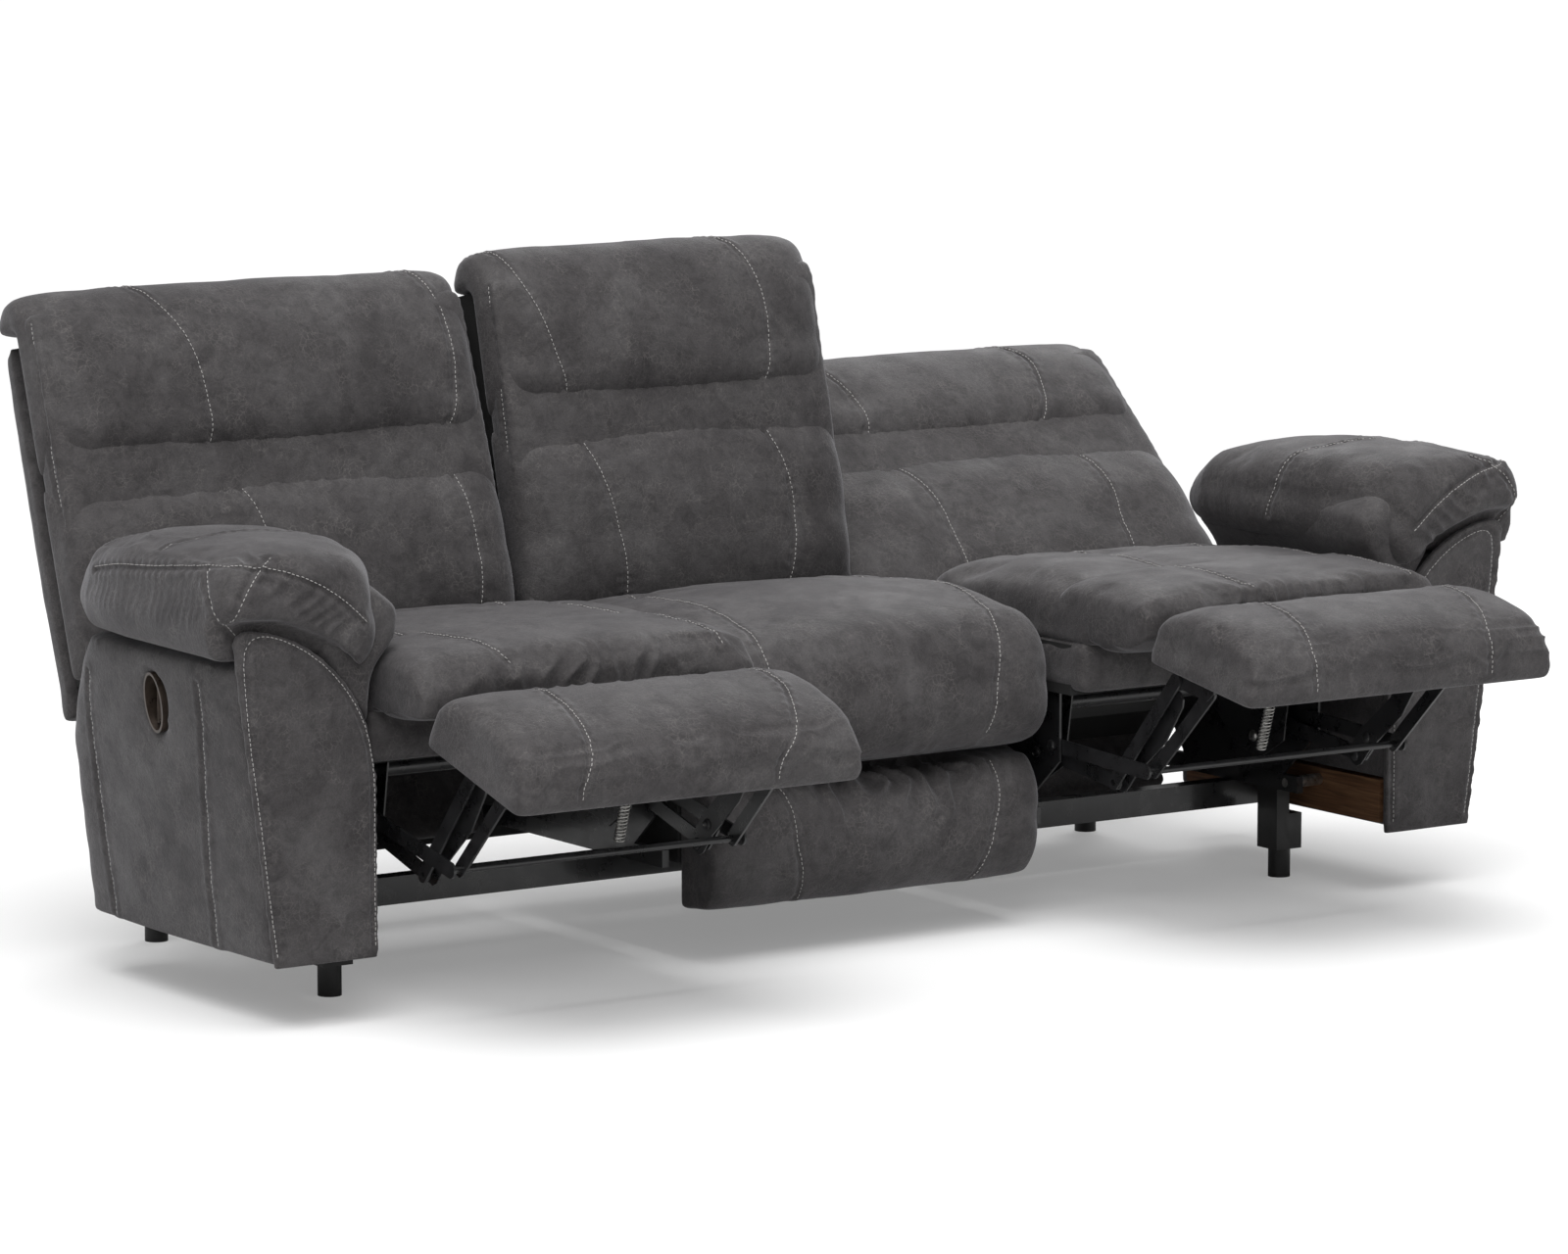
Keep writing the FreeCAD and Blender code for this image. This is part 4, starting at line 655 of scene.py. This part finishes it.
for tag in ("left", "middle", "right"):
    axes = back_axes(tag)
    crease = CREASE[tag]
    middle_x = 0.5 * sum(SPAN[tag])
    half_x = 0.5 * (SPAN[tag][1] - SPAN[tag][0])
    soft_piece("head_cushion_" + tag, "head_pillow_" + tag, BACK_BODY[tag], axes,
               lambda p: np.maximum(ramp(-p[:, 1], -0.069, -0.040), ramp(p[:, 2], 0.628, 0.655)),
               [back_line(seam) for seam in HEAD_SEAMS[tag]], cap=0.009, sides=SPAN[tag],
               pleats=(((middle_x, 0, crease + 0.006), (1, 0, 0), (0, 0, 1),
                        (half_x, 0.055), 0.0028, 0.034),))
    soft_piece("lumbar_cushion_" + tag, "lumbar_pillow_" + tag, BACK_BODY[tag], axes,
               lambda p: ramp(-p[:, 1], -0.069, -0.040),
               [back_line(seam) for seam in LUMBAR_SEAMS[tag]], cap=0.009, sides=SPAN[tag],
               pleats=(((middle_x, 0, crease - 0.004), (1, 0, 0), (0, 0, -1),
                        (half_x, 0.075), 0.0030, 0.041),
                       ((middle_x, 0, 0.105), (1, 0, 0), (0, 0, 1),
                        (half_x, 0.07), 0.0022, 0.05)))
    core = rounded([(0.0712, 0.112, 0.004), (0.006, 0.112, 0.02), (0.002, crease, 0.0),
                    (0.010, 0.640, 0.03), (0.0712, 0.640, 0.004)])
    low, high = SPAN[tag][0] + 0.006, SPAN[tag][1] - 0.006
    soft_piece("back_boxing_" + tag, None, BACK_BODY[tag], axes,
               lambda p: ramp(-p[:, 1], -0.066, -0.045),
               [[(x, 0.03, up) for up in (0.13, 0.25, 0.4, 0.52, 0.62)]
                for x in (low - 0.002, high + 0.002)],
               form=loft(core, ends_of(low, high, ((0.0, 0.82, 0.97), (0.008, 0.94, 0.99),
                                                   (0.02, 1.0, 1.0))), (0.0712, 0.38)),
               cap=0.003, shrink=0.001, voxel=0.0095, sides=(low, high), offset=0.0)
    edges = SPAN[tag]
    trims = {"left": (0.026, 0.002), "middle": (0.004, 0.004), "right": (0.002, 0.026)}[tag]
    low = edges[0] + trims[0] + 0.045
    high = edges[1] - trims[1] - 0.045
    soft_piece("outer_back_cover_" + tag, "outer_back_" + tag, BACK_BODY[tag], axes,
               lambda p: ramp(p[:, 1], 0.131, 0.150) * ramp(p[:, 2], 0.07, 0.12),
               [back_line((x, -0.19, up) for up in (0.58, 0.45, 0.3, 0.16, 0.09))
                for x in (low, high)],
               cap=0.005, shrink=0.002, voxel=0.0105, sides=edges, pressure=2.0)


# Seats.

def seat_held(low):
    return lambda p: ramp(p[:, 2], low + 0.003, low + 0.028)


SEAT_SEAMS = {
    "left": (
        ((-0.755, 0.10, 0.49), (-0.762, -0.02, 0.515), (-0.768, -0.12, 0.517),
         (-0.768, -0.19, 0.514), (-0.752, -0.265, 0.508), (-0.735, -0.305, 0.485),
         (-0.725, -0.325, 0.45)),
        ((-0.435, 0.10, 0.49), (-0.425, -0.02, 0.515), (-0.412, -0.12, 0.517),
         (-0.398, -0.19, 0.514), (-0.386, -0.265, 0.508), (-0.378, -0.305, 0.485),
         (-0.376, -0.325, 0.45))),
    "right": (
        ((0.585, 0.07, 0.48), (0.590, 0.03, 0.50), (0.560, -0.08, 0.517), (0.541, -0.14, 0.518),
         (0.524, -0.25, 0.512), (0.520, -0.33, 0.49), (0.520, -0.36, 0.45)),
        ((0.800, 0.07, 0.48), (0.812, -0.03, 0.51), (0.826, -0.13, 0.515), (0.834, -0.22, 0.512),
         (0.832, -0.30, 0.495), (0.828, -0.36, 0.45))),
}
for tag, sign in SIDES:
    seat = (sign * SEAT_X - SEAT_HALF, sign * SEAT_X + SEAT_HALF)
    soft_piece("seat_cover_" + tag, "seat_cushion_" + tag, tag + "_carriage",
               Matrix.Identity(4), seat_held(0.420), SEAT_SEAMS[tag], cap=0.010, sides=seat,
               pleats=(((sign * SEAT_X, FRONT_Y - SHIFT[tag] + 0.02, 0.50), (1, 0, 0), (0, 1, 0),
                        (0.27, 0.06), 0.0022, 0.05),))
middle_seams = (
    ((-0.188, 0.12, 0.48), (-0.198, 0.0, 0.502), (-0.203, -0.098, 0.497), (-0.203, -0.167, 0.488),
     (-0.214, -0.239, 0.474), (-0.216, -0.285, 0.43), (-0.200, -0.297, 0.36),
     (-0.188, -0.283, 0.30)),
    ((0.225, 0.12, 0.48), (0.240, 0.0, 0.502), (0.240, -0.11, 0.494), (0.216, -0.20, 0.482),
     (0.202, -0.243, 0.472), (0.189, -0.286, 0.428), (0.176, -0.297, 0.36), (0.169, -0.283, 0.30)),
)
soft_piece("seat_cover_middle", "middle_seat_cushion", "base", Matrix.Identity(4),
           lambda p: ramp(p[:, 2] - 0.36 + 2.0 * np.maximum(0, -0.168 - p[:, 1]), 0.003, 0.03),
           middle_seams, cap=0.010, sides=(-0.296, 0.296),
           pleats=(((0, -0.27, 0.272), (1, 0, 0), (0, 0, 1), (0.28, 0.07), 0.0035, 0.052),))
panel_seams = (
    ((-0.176, -0.24, 0.258), (-0.166, -0.265, 0.228), (-0.160, -0.274, 0.172),
     (-0.146, -0.262, 0.12), (-0.138, -0.24, 0.082)),
    ((0.205, -0.24, 0.258), (0.203, -0.262, 0.236), (0.194, -0.273, 0.174), (0.180, -0.262, 0.12),
     (0.170, -0.24, 0.082)),
)
soft_piece("front_panel_cover_middle", "middle_front_panel", "base", Matrix.Identity(4),
           lambda p: ramp(-p[:, 1], 0.170, 0.200), panel_seams, cap=0.009,
           sides=(-0.29, 0.29), voxel=0.0070,
           pleats=(((0.03, -0.27, 0.262), (1, 0, 0), (0, 0, -1), (0.17, 0.13), 0.013, 0.042),
                   ((0.03, -0.27, 0.262), (1, 0, 0), (0, 0, -1), (0.25, 0.06), 0.004, 0.026)))

# Footrests and the strips that join them to the seats.

FOOT_SEAMS = {
    "left": ((-0.735, -0.743, -0.763, -0.778), (-0.380, -0.390, -0.436, -0.463)),
    "right": ((0.475, 0.454, 0.424, 0.430), (0.815, 0.791, 0.749, 0.752)),
}
FOOT_PROFILE = rounded([
    (0.004, -0.003, 0.002), (0.002, 0.060, 0.0), (-0.012, 0.082, 0.012), (-0.060, 0.098, 0.0),
    (-0.120, 0.103, 0.0), (-0.180, 0.099, 0.0), (-0.226, 0.084, 0.022), (-0.247, 0.052, 0.016),
    (-0.243, 0.018, 0.0), (-0.239, -0.003, 0.003)])
STRIP_XS = {"left": ((-0.752, -0.736, -0.722), (-0.386, -0.378, -0.376)),
            "right": ((0.524, 0.520, 0.528), (0.832, 0.828, 0.822))}
for tag, sign in SIDES:
    axes = board_axes(tag)
    seams = []
    for xs in FOOT_SEAMS[tag]:
        seams.append(((xs[0], 0.002, 0.070), (xs[0] * 0.6 + xs[1] * 0.4, -0.05, 0.096),
                      (xs[1], -0.12, 0.103), (xs[1] * 0.5 + xs[2] * 0.5, -0.18, 0.099),
                      (xs[2], -0.235, 0.078), (xs[3], -0.246, 0.045), (xs[3], -0.241, 0.019)))
    centre = sign * SEAT_X
    ends = (centre - 0.279, centre + 0.279)
    soft_piece("footrest_cover_" + tag, ("footrest_pad_" + tag, "footrest_board_" + tag),
               tag + "_footrest", axes, lambda p: ramp(p[:, 2], 0.014, 0.040), seams,
               form=loft(FOOT_PROFILE, ends_of(ends[0], ends[1], (
                   (0.0, 0.955, 0.74), (0.006, 0.985, 0.86), (0.022, 1.0, 0.94),
                   (0.07, 1.0, 1.0))), (-0.12, -0.003)),
               cap=0.006, sides=ends, voxel=0.0068,
               pleats=(((centre, 0.0, 0.08), (1, 0, 0), (0, -1, 0), (0.20, 0.060), 0.0065, 0.038),
                       ((ends[0], -0.235, 0.05), (0, 0.5, 0.86), (0, 0.86, -0.5), (0.05, 0.05),
                        0.004, 0.03)))
    # Strip from the top of the seat down to the crease behind the footrest.
    front = FRONT_Y - SHIFT[tag]
    board = axes @ Vector((0, 0.004, 0.0))
    low_y, low_z = board[1] + 0.004, board[2] + 0.030
    strip = [(front + 0.150, 0.498), (front + 0.120, 0.5215), (front + 0.060, 0.5235),
             (front + 0.000, 0.5215), (front - 0.060, 0.514),
             (low_y + 0.020, low_z + 0.067), (low_y + 0.002, low_z + 0.046), (low_y, low_z),
             (front - 0.050, 0.425), (front + 0.020, 0.416), (front + 0.120, 0.440)]
    lines = []
    for one, two, three in STRIP_XS[tag]:
        lines.append(((one, front + 0.118, 0.521), (one, front + 0.06, 0.523),
                      (two, front, 0.521), (two, front - 0.055, 0.514),
                      (three, low_y + 0.022, low_z + 0.068)))
    stations = ends_of(ends[0] + 0.003, ends[1] - 0.003, (
        (0.0, 0.92, 0.74), (0.008, 0.96, 0.86), (0.03, 1.0, 0.94), (0.08, 1.0, 0.985),
        (0.2, 1.0, 1.0)))
    pieces = soft_piece(
        "chaise_strip_" + tag, "chaise_flap_" + tag, tag + "_carriage", Matrix.Identity(4),
        lambda p: np.ones(len(p)), lines, form=loft(strip, stations, (front, 0.43)),
        cap=0.006, shrink=0.004, voxel=0.0075, sides=ends,
        pleats=(((centre, low_y, low_z + 0.05), (1, 0, 0), (0, 1, 0),
                 (0.20, 0.060), 0.0065, 0.038),))
    for item in pieces:
        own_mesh(item)
    # Upholstered band round the seat box.
    band_form = [(front + 0.050, 0.350), (front + 0.486, 0.350), (front + 0.486, 0.426),
                 (front + 0.050, 0.426)]
    half = 0.2795
    inner_x = centre - sign * half
    soft_piece("seat_band_" + tag, None, tag + "_carriage", Matrix.Identity(4),
               lambda p: ramp(p[:, 2], 0.352, 0.366),
               [[(inner_x, front + 0.20, 0.420), (inner_x, front + 0.20, 0.39),
                 (inner_x, front + 0.20, 0.356)]],
               form=loft(band_form, ends_of(centre - half, centre + half, (
                   (0.0, 0.97, 0.96), (0.006, 0.99, 0.99), (0.016, 1.0, 1.0))),
                   (front + 0.27, 0.388)),
               cap=0.004, shrink=0.002, voxel=0.0085,
               sides=(centre - half, centre + half), uneven=0.0022, pressure=2.0)

# Arms.

for tag, sign in SIDES:
    top_line = [(1.117, 0.052, 0.602), (1.129, -0.04, 0.617), (1.131, -0.129, 0.625),
                (1.127, -0.21, 0.634), (1.119, -0.283, 0.643), (1.100, -0.328, 0.648),
                (1.070, -0.338, 0.646), (1.036, -0.345, 0.635), (0.995, -0.351, 0.617),
                (0.950, -0.351, 0.588), (0.915, -0.340, 0.556)]
    drop_line = [(1.127, -0.277, 0.642), (1.136, -0.300, 0.610), (1.126, -0.317, 0.572),
                 (1.100, -0.318, 0.548)]
    cross_line = [(0.842, -0.10, 0.560), (0.838, -0.115, 0.612), (0.878, -0.119, 0.655),
                  (0.95, -0.12, 0.668), (1.03, -0.12, 0.665), (1.10, -0.12, 0.645)]
    dart = [(1.049, -0.318, 0.660), (1.080, -0.338, 0.638), (1.108, -0.342, 0.600),
            (1.118, -0.330, 0.565)]
    seams = [[(sign * x, y, z) for x, y, z in line] for line in (top_line, drop_line, cross_line,
                                                                dart)]
    soft_piece("arm_pad_cover_" + tag, "arm_pad_" + tag, "base", Matrix.Identity(4),
               lambda p: ramp(p[:, 2] + 0.5 * np.maximum(0, -0.31 - p[:, 1]) * 10, 0.519, 0.545),
               seams, cap=0.009, shrink=0.004, voxel=0.0075,
               sides=(sign * 0.826, sign * 1.134),
               pleats=(((sign * 1.04, -0.345, 0.60), (sign * 0.8, 0, 0.6), (-sign * 0.6, 0, 0.8),
                        (0.17, 0.07), 0.0052, 0.027),
                       ((sign * 1.135, -0.10, 0.56), (0, 1, 0), (0, 0, 1), (0.24, 0.09), 0.0009,
                        0.019)))
    roll = [(-sign * x, z) for x, z in (
        (0.834, 0.575), (0.838, 0.535), (0.856, 0.512), (0.880, 0.482), (0.8875, 0.44),
        (0.8885, 0.400), (0.93, 0.45), (0.975, 0.52), (0.95, 0.59), (0.88, 0.61))]
    soft_piece("arm_inner_roll_" + tag, None, "base", Matrix.Rotation(math.radians(90), 4, "Z"),
               lambda p: np.ones(len(p)), (), thread=False,
               form=loft(roll, ends_of(-0.322, 0.108, ((0.0, 0.80, 0.80), (0.012, 0.93, 0.93),
                                                      (0.04, 1.0, 1.0))),
                         (-sign * 0.90, 0.51)),
               cap=0.001, shrink=0.0005, voxel=0.0085)
    face = [[(1.088, 0.115, 0.45), (1.084, 0.127, 0.399), (1.070, 0.128, 0.286),
             (1.056, 0.13, 0.17), (1.048, 0.13, 0.10)],
            [(1.092, -0.200, 0.470), (1.085, -0.194, 0.399), (1.070, -0.180, 0.30),
             (1.061, -0.167, 0.217), (1.048, -0.16, 0.10)]]
    seams = [[(sign * x, y, z) for x, y, z in line] for line in face]
    cup = Vector((sign * 1.092, -0.079, 0.430))

    def arm_held(p, sign=sign, cup=cup):
        outer = ramp(p[:, 0] * sign, 0.93, 1.0)
        around = np.sqrt(((p[:, 1] - cup[1]) / 0.034) ** 2 + ((p[:, 2] - cup[2]) / 0.052) ** 2)
        front = ramp(p[:, 1], -0.312, -0.285)
        return outer * ramp(around, 1.0, 1.6) * front * ramp(p[:, 2], 0.092, 0.12)

    soft_piece("arm_body_cover_" + tag, "arm_cover_" + tag, "base", Matrix.Identity(4), arm_held,
               seams, cap=0.006, shrink=0.001, voxel=0.0085, pressure=2.0)
    rim = [(0.893, 0.110), (0.893, 0.22), (0.893, 0.345), (0.903, 0.405), (0.930, 0.455),
           (0.968, 0.498), (1.012, 0.528), (1.052, 0.544), (1.080, 0.545), (1.088, 0.520),
           (1.078, 0.40), (1.062, 0.28), (1.050, 0.18), (1.040, 0.110)]
    seams = [[(sign * x, -0.334, z) for x, z in rim]]
    soft_piece("arm_front_cover_" + tag, "arm_front_panel_" + tag, "base", Matrix.Identity(4),
               lambda p: ramp(-p[:, 1], 0.3155, 0.3250), seams, cap=0.005, shrink=0.001,
               voxel=0.0050, offset=-0.004, pressure=3.0, uneven=0.0008)


# Visible hardware: pressed plates, rivet heads and black dust cloth under the seats; the black
# board at the rear is painted shade.

def solid_piece(name, body, form, material, bevel=0.0006):
    mesh = bpy.data.meshes.new(name)
    form.to_mesh(mesh)
    form.free()
    item = bpy.data.objects.new(name, mesh)
    scene.collection.objects.link(item)
    if bevel:
        modified(item, "BEVEL", width=bevel, segments=2, limit_method="ANGLE")
    item.data.materials.clear()
    item.data.materials.append(material)
    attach(item, body)
    return item


def plates(outline, spots, thickness=0.003):
    """Flat plates with one outline in the side view, at several places across."""
    form = bmesh.new()
    for x in spots:
        low = [form.verts.new((x, y, z)) for y, z in outline]
        high = [form.verts.new((x + thickness, y, z)) for y, z in outline]
        count = len(outline)
        form.faces.new(low[::-1])
        form.faces.new(high)
        for k in range(count):
            form.faces.new((low[k], low[(k + 1) % count], high[(k + 1) % count], high[k]))
    bmesh.ops.recalc_face_normals(form, faces=form.faces)
    return form


def domes(places, radius=0.0085, height=0.0042):
    """Rivet heads that face along x: place, and the way they face."""
    form = bmesh.new()
    ring = 16
    rows = ((0.0, 1.0), (0.35, 1.0), (0.72, 0.82), (0.95, 0.45))
    for (x, y, z), way in places:
        rings = []
        for rise, size in rows:
            rings.append([form.verts.new((x + way * rise * height,
                                          y + size * radius * math.cos(2 * math.pi * k / ring),
                                          z + size * radius * math.sin(2 * math.pi * k / ring)))
                          for k in range(ring)])
        top = form.verts.new((x + way * height, y, z))
        for one, two in zip(rings, rings[1:]):
            for k in range(ring):
                form.faces.new((one[k], one[(k + 1) % ring], two[(k + 1) % ring], two[k]))
        for k in range(ring):
            form.faces.new((rings[-1][k], rings[-1][(k + 1) % ring], top))
        form.faces.new(rings[0][::-1])
    bmesh.ops.recalc_face_normals(form, faces=form.faces)
    return form


def polar(start, length, angle):
    return (start[0] + length * math.cos(math.radians(angle)),
            start[1] + length * math.sin(math.radians(angle)))


def strap(points, width):
    """An outline of even width round a bent line in the side view."""
    p = np.asarray(points, float)
    ways = np.gradient(p, axis=0)
    ways /= np.linalg.norm(ways, axis=1)[:, None]
    side = np.stack([-ways[:, 1], ways[:, 0]], 1) * width / 2
    tips = [p[0] - ways[0] * width * 0.4, p[-1] + ways[-1] * width * 0.4]
    left = [p[0] - ways[0] * width * 0.3 + side[0] * 0.7] + list(p + side)
    left += [p[-1] + ways[-1] * width * 0.3 + side[-1] * 0.7, tips[1]]
    right = [p[-1] + ways[-1] * width * 0.3 - side[-1] * 0.7] + list((p - side)[::-1])
    right += [p[0] - ways[0] * width * 0.3 - side[0] * 0.7, tips[0]]
    return [tuple(q) for q in left + right]


for tag, sign in SIDES:
    share = LIFT_SHORT[tag] / LIFT_TRAVEL
    front = FRONT_Y - SHIFT[tag]
    lift_angle = 182.8 + LIFT_SHORT[tag]
    link_angle = 131.05 - 11.95 * share
    lift = (front + 0.150, 0.262)
    knee = polar(lift, 0.165, lift_angle)
    tail = polar(knee, -0.040, link_angle)
    rear = (front + 0.1863, 0.2472)
    middle = sign * LINKAGE_X

    def layer(level, way):
        """The face of a link layer that looks towards the middle of the seat."""
        return middle + way * (PLATE_GAP - (level + 1) * 0.005)

    ways = (-1, 1)
    bend = polar(knee, 0.086, link_angle + 10)
    outline = strap([tail, knee, bend, polar(knee, 0.150, link_angle + 3)], 0.036)
    solid_piece("pressed_plates_" + tag, tag + "_board_links",
                plates(outline, [layer(3, way) - (0.0036 if way > 0 else -0.0006)
                                 for way in ways]), STEEL)
    solid_piece("knee_rivets_" + tag, tag + "_board_links",
                domes([((layer(3, way) - way * 0.0034, *place), -way)
                       for way in ways for place in (knee, tail)]), STEEL, 0)
    solid_piece("pivot_rivets_" + tag, tag + "_carriage",
                domes([((middle + way * (PLATE_GAP + 0.004), *place), way)
                       for way in ways for place in (lift, rear, (front + 0.5066, 0.330))]),
                STEEL, 0)
    cheek = [(front + y, z) for y, z in (
        (0.150, 0.335), (0.335, 0.335), (0.345, 0.262), (0.285, 0.208), (0.225, 0.192),
        (0.168, 0.226))]
    solid_piece("cheek_plates_" + tag, tag + "_carriage",
                plates(cheek, [middle + way * 0.206 - 0.0015 for way in ways]), STEEL)
    solid_piece("cheek_bolts_" + tag, tag + "_carriage",
                domes([((middle + way * 0.206 - way * 0.0015, front + y, z), -way)
                       for way in ways for y, z in ((0.20, 0.318), (0.30, 0.300), (0.24, 0.225))],
                      0.009, 0.006), ZINC, 0)
    tray = bmesh.new()
    bmesh.ops.create_cube(tray, size=1.0, matrix=Matrix.Translation(
        (sign * SEAT_X, front + 0.285, 0.3475)) @ Matrix.Diagonal((0.545, 0.395, 0.002, 1)))
    solid_piece("seat_lining_" + tag, tag + "_carriage", tray, LINING_AND_SHADE, 0)
# A near-black board across the rear, under the backs: painted shade, darkening the space behind
# the mechanism that the backs' lower covers shade.
rear_shade_panel = bmesh.new()
bmesh.ops.create_cube(rear_shade_panel, size=1.0, matrix=Matrix.Translation(
    (0, 0.3525, 0.215)) @ Matrix.Diagonal((1.766, 0.003, 0.225, 1)))
solid_piece("rear_shade_board", "base", rear_shade_panel, LINING_AND_SHADE, 0)


# Rigid CAD pieces get their finishes.

FINISH = (
    ("arm_frame", WOOD), ("seat_box", LINING_AND_SHADE), ("back_frame", LINING_AND_SHADE), ("footrest_board", LINING_AND_SHADE),
    ("cross_rail", STEEL), ("slide_rails", STEEL), ("side_plates", STEEL), ("cross_tubes", STEEL),
    ("links", STEEL), ("brackets", STEEL), ("cross_rod", STEEL), ("foot_blocks", SATIN),
    ("feet", SATIN), ("arm_bolts", ZINC), ("spring", ZINC), ("handle_cups", BRONZE),
    ("lever", BRONZE),
)
for name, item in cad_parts.items():
    for word, material in FINISH:
        if word in name:
            item.data.materials.clear()
            item.data.materials.append(material)
            break


# Camera, floor and light.

CAMERA_DROP = 8.063
CAMERA_HEADING = -34.17
camera = bpy.data.cameras.new("camera")
camera.lens = 157.5
camera.sensor_width = 36.0
camera.clip_end = 100
eye = bpy.data.objects.new("camera", camera)
scene.collection.objects.link(eye)
eye.location = (-5.60491, -8.26407, 1.85292)
eye.rotation_euler = (math.radians(90 - CAMERA_DROP), 0, math.radians(CAMERA_HEADING))
scene.camera = eye

floor_mesh = bpy.data.meshes.new("floor")
reach = 30
floor_mesh.from_pydata([(-reach, -reach, 0), (reach, -reach, 0), (reach, reach, 0),
                        (-reach, reach, 0)], [], [(0, 1, 2, 3)])
floor = bpy.data.objects.new("floor", floor_mesh)
scene.collection.objects.link(floor)
pale, tree, shader = new_material("pale_floor", Roughness=0.9, Specular_IOR_Level=0.1)
shader.inputs["Base Color"].default_value = (0.66, 0.66, 0.66, 1)
path = node(tree, "ShaderNodeLightPath")
glow = node(tree, "ShaderNodeEmission")
glow.inputs["Color"].default_value = (1, 1, 1, 1)
lift = tree.nodes.new("ShaderNodeMath")
lift.operation = "MULTIPLY"
lift.inputs[1].default_value = 0.25
tree.links.new(path.outputs["Is Camera Ray"], lift.inputs[0])
tree.links.new(lift.outputs[0], glow.inputs["Strength"])
both = node(tree, "ShaderNodeAddShader")
tree.links.new(shader.outputs[0], both.inputs[0])
tree.links.new(glow.outputs[0], both.inputs[1])
tree.links.new(both.outputs[0], tree.nodes["Material Output"].inputs["Surface"])
floor.data.materials.append(pale)


def lamp(name, place, target, size, power):
    data = bpy.data.lights.new(name, "AREA")
    data.shape = "RECTANGLE"
    data.size, data.size_y = size
    data.energy = power
    item = bpy.data.objects.new(name, data)
    scene.collection.objects.link(item)
    item.location = place
    way = Vector(target) - Vector(place)
    item.rotation_euler = way.to_track_quat("-Z", "Y").to_euler()


lamp("key", (-3.0, -3.6, 3.2), (0, 0, 0.4), (2.4, 1.6), 50)
lamp("rim", (2.6, 2.4, 2.6), (0, 0, 0.7), (2.0, 1.2), 45)
sun = bpy.data.lights.new("sky", "SUN")
sun.energy = 2.95
sun.angle = math.radians(50)
sky = bpy.data.objects.new("sky", sun)
scene.collection.objects.link(sky)
sky.rotation_euler = (math.radians(16), math.radians(-10), 0)
world = bpy.data.worlds.new("studio")
scene.world = world
world.use_nodes = True
world.node_tree.nodes["Background"].inputs["Color"].default_value = (1, 1, 1, 1)
world.node_tree.nodes["Background"].inputs["Strength"].default_value = 0.31
scene.view_settings.view_transform = "Standard"
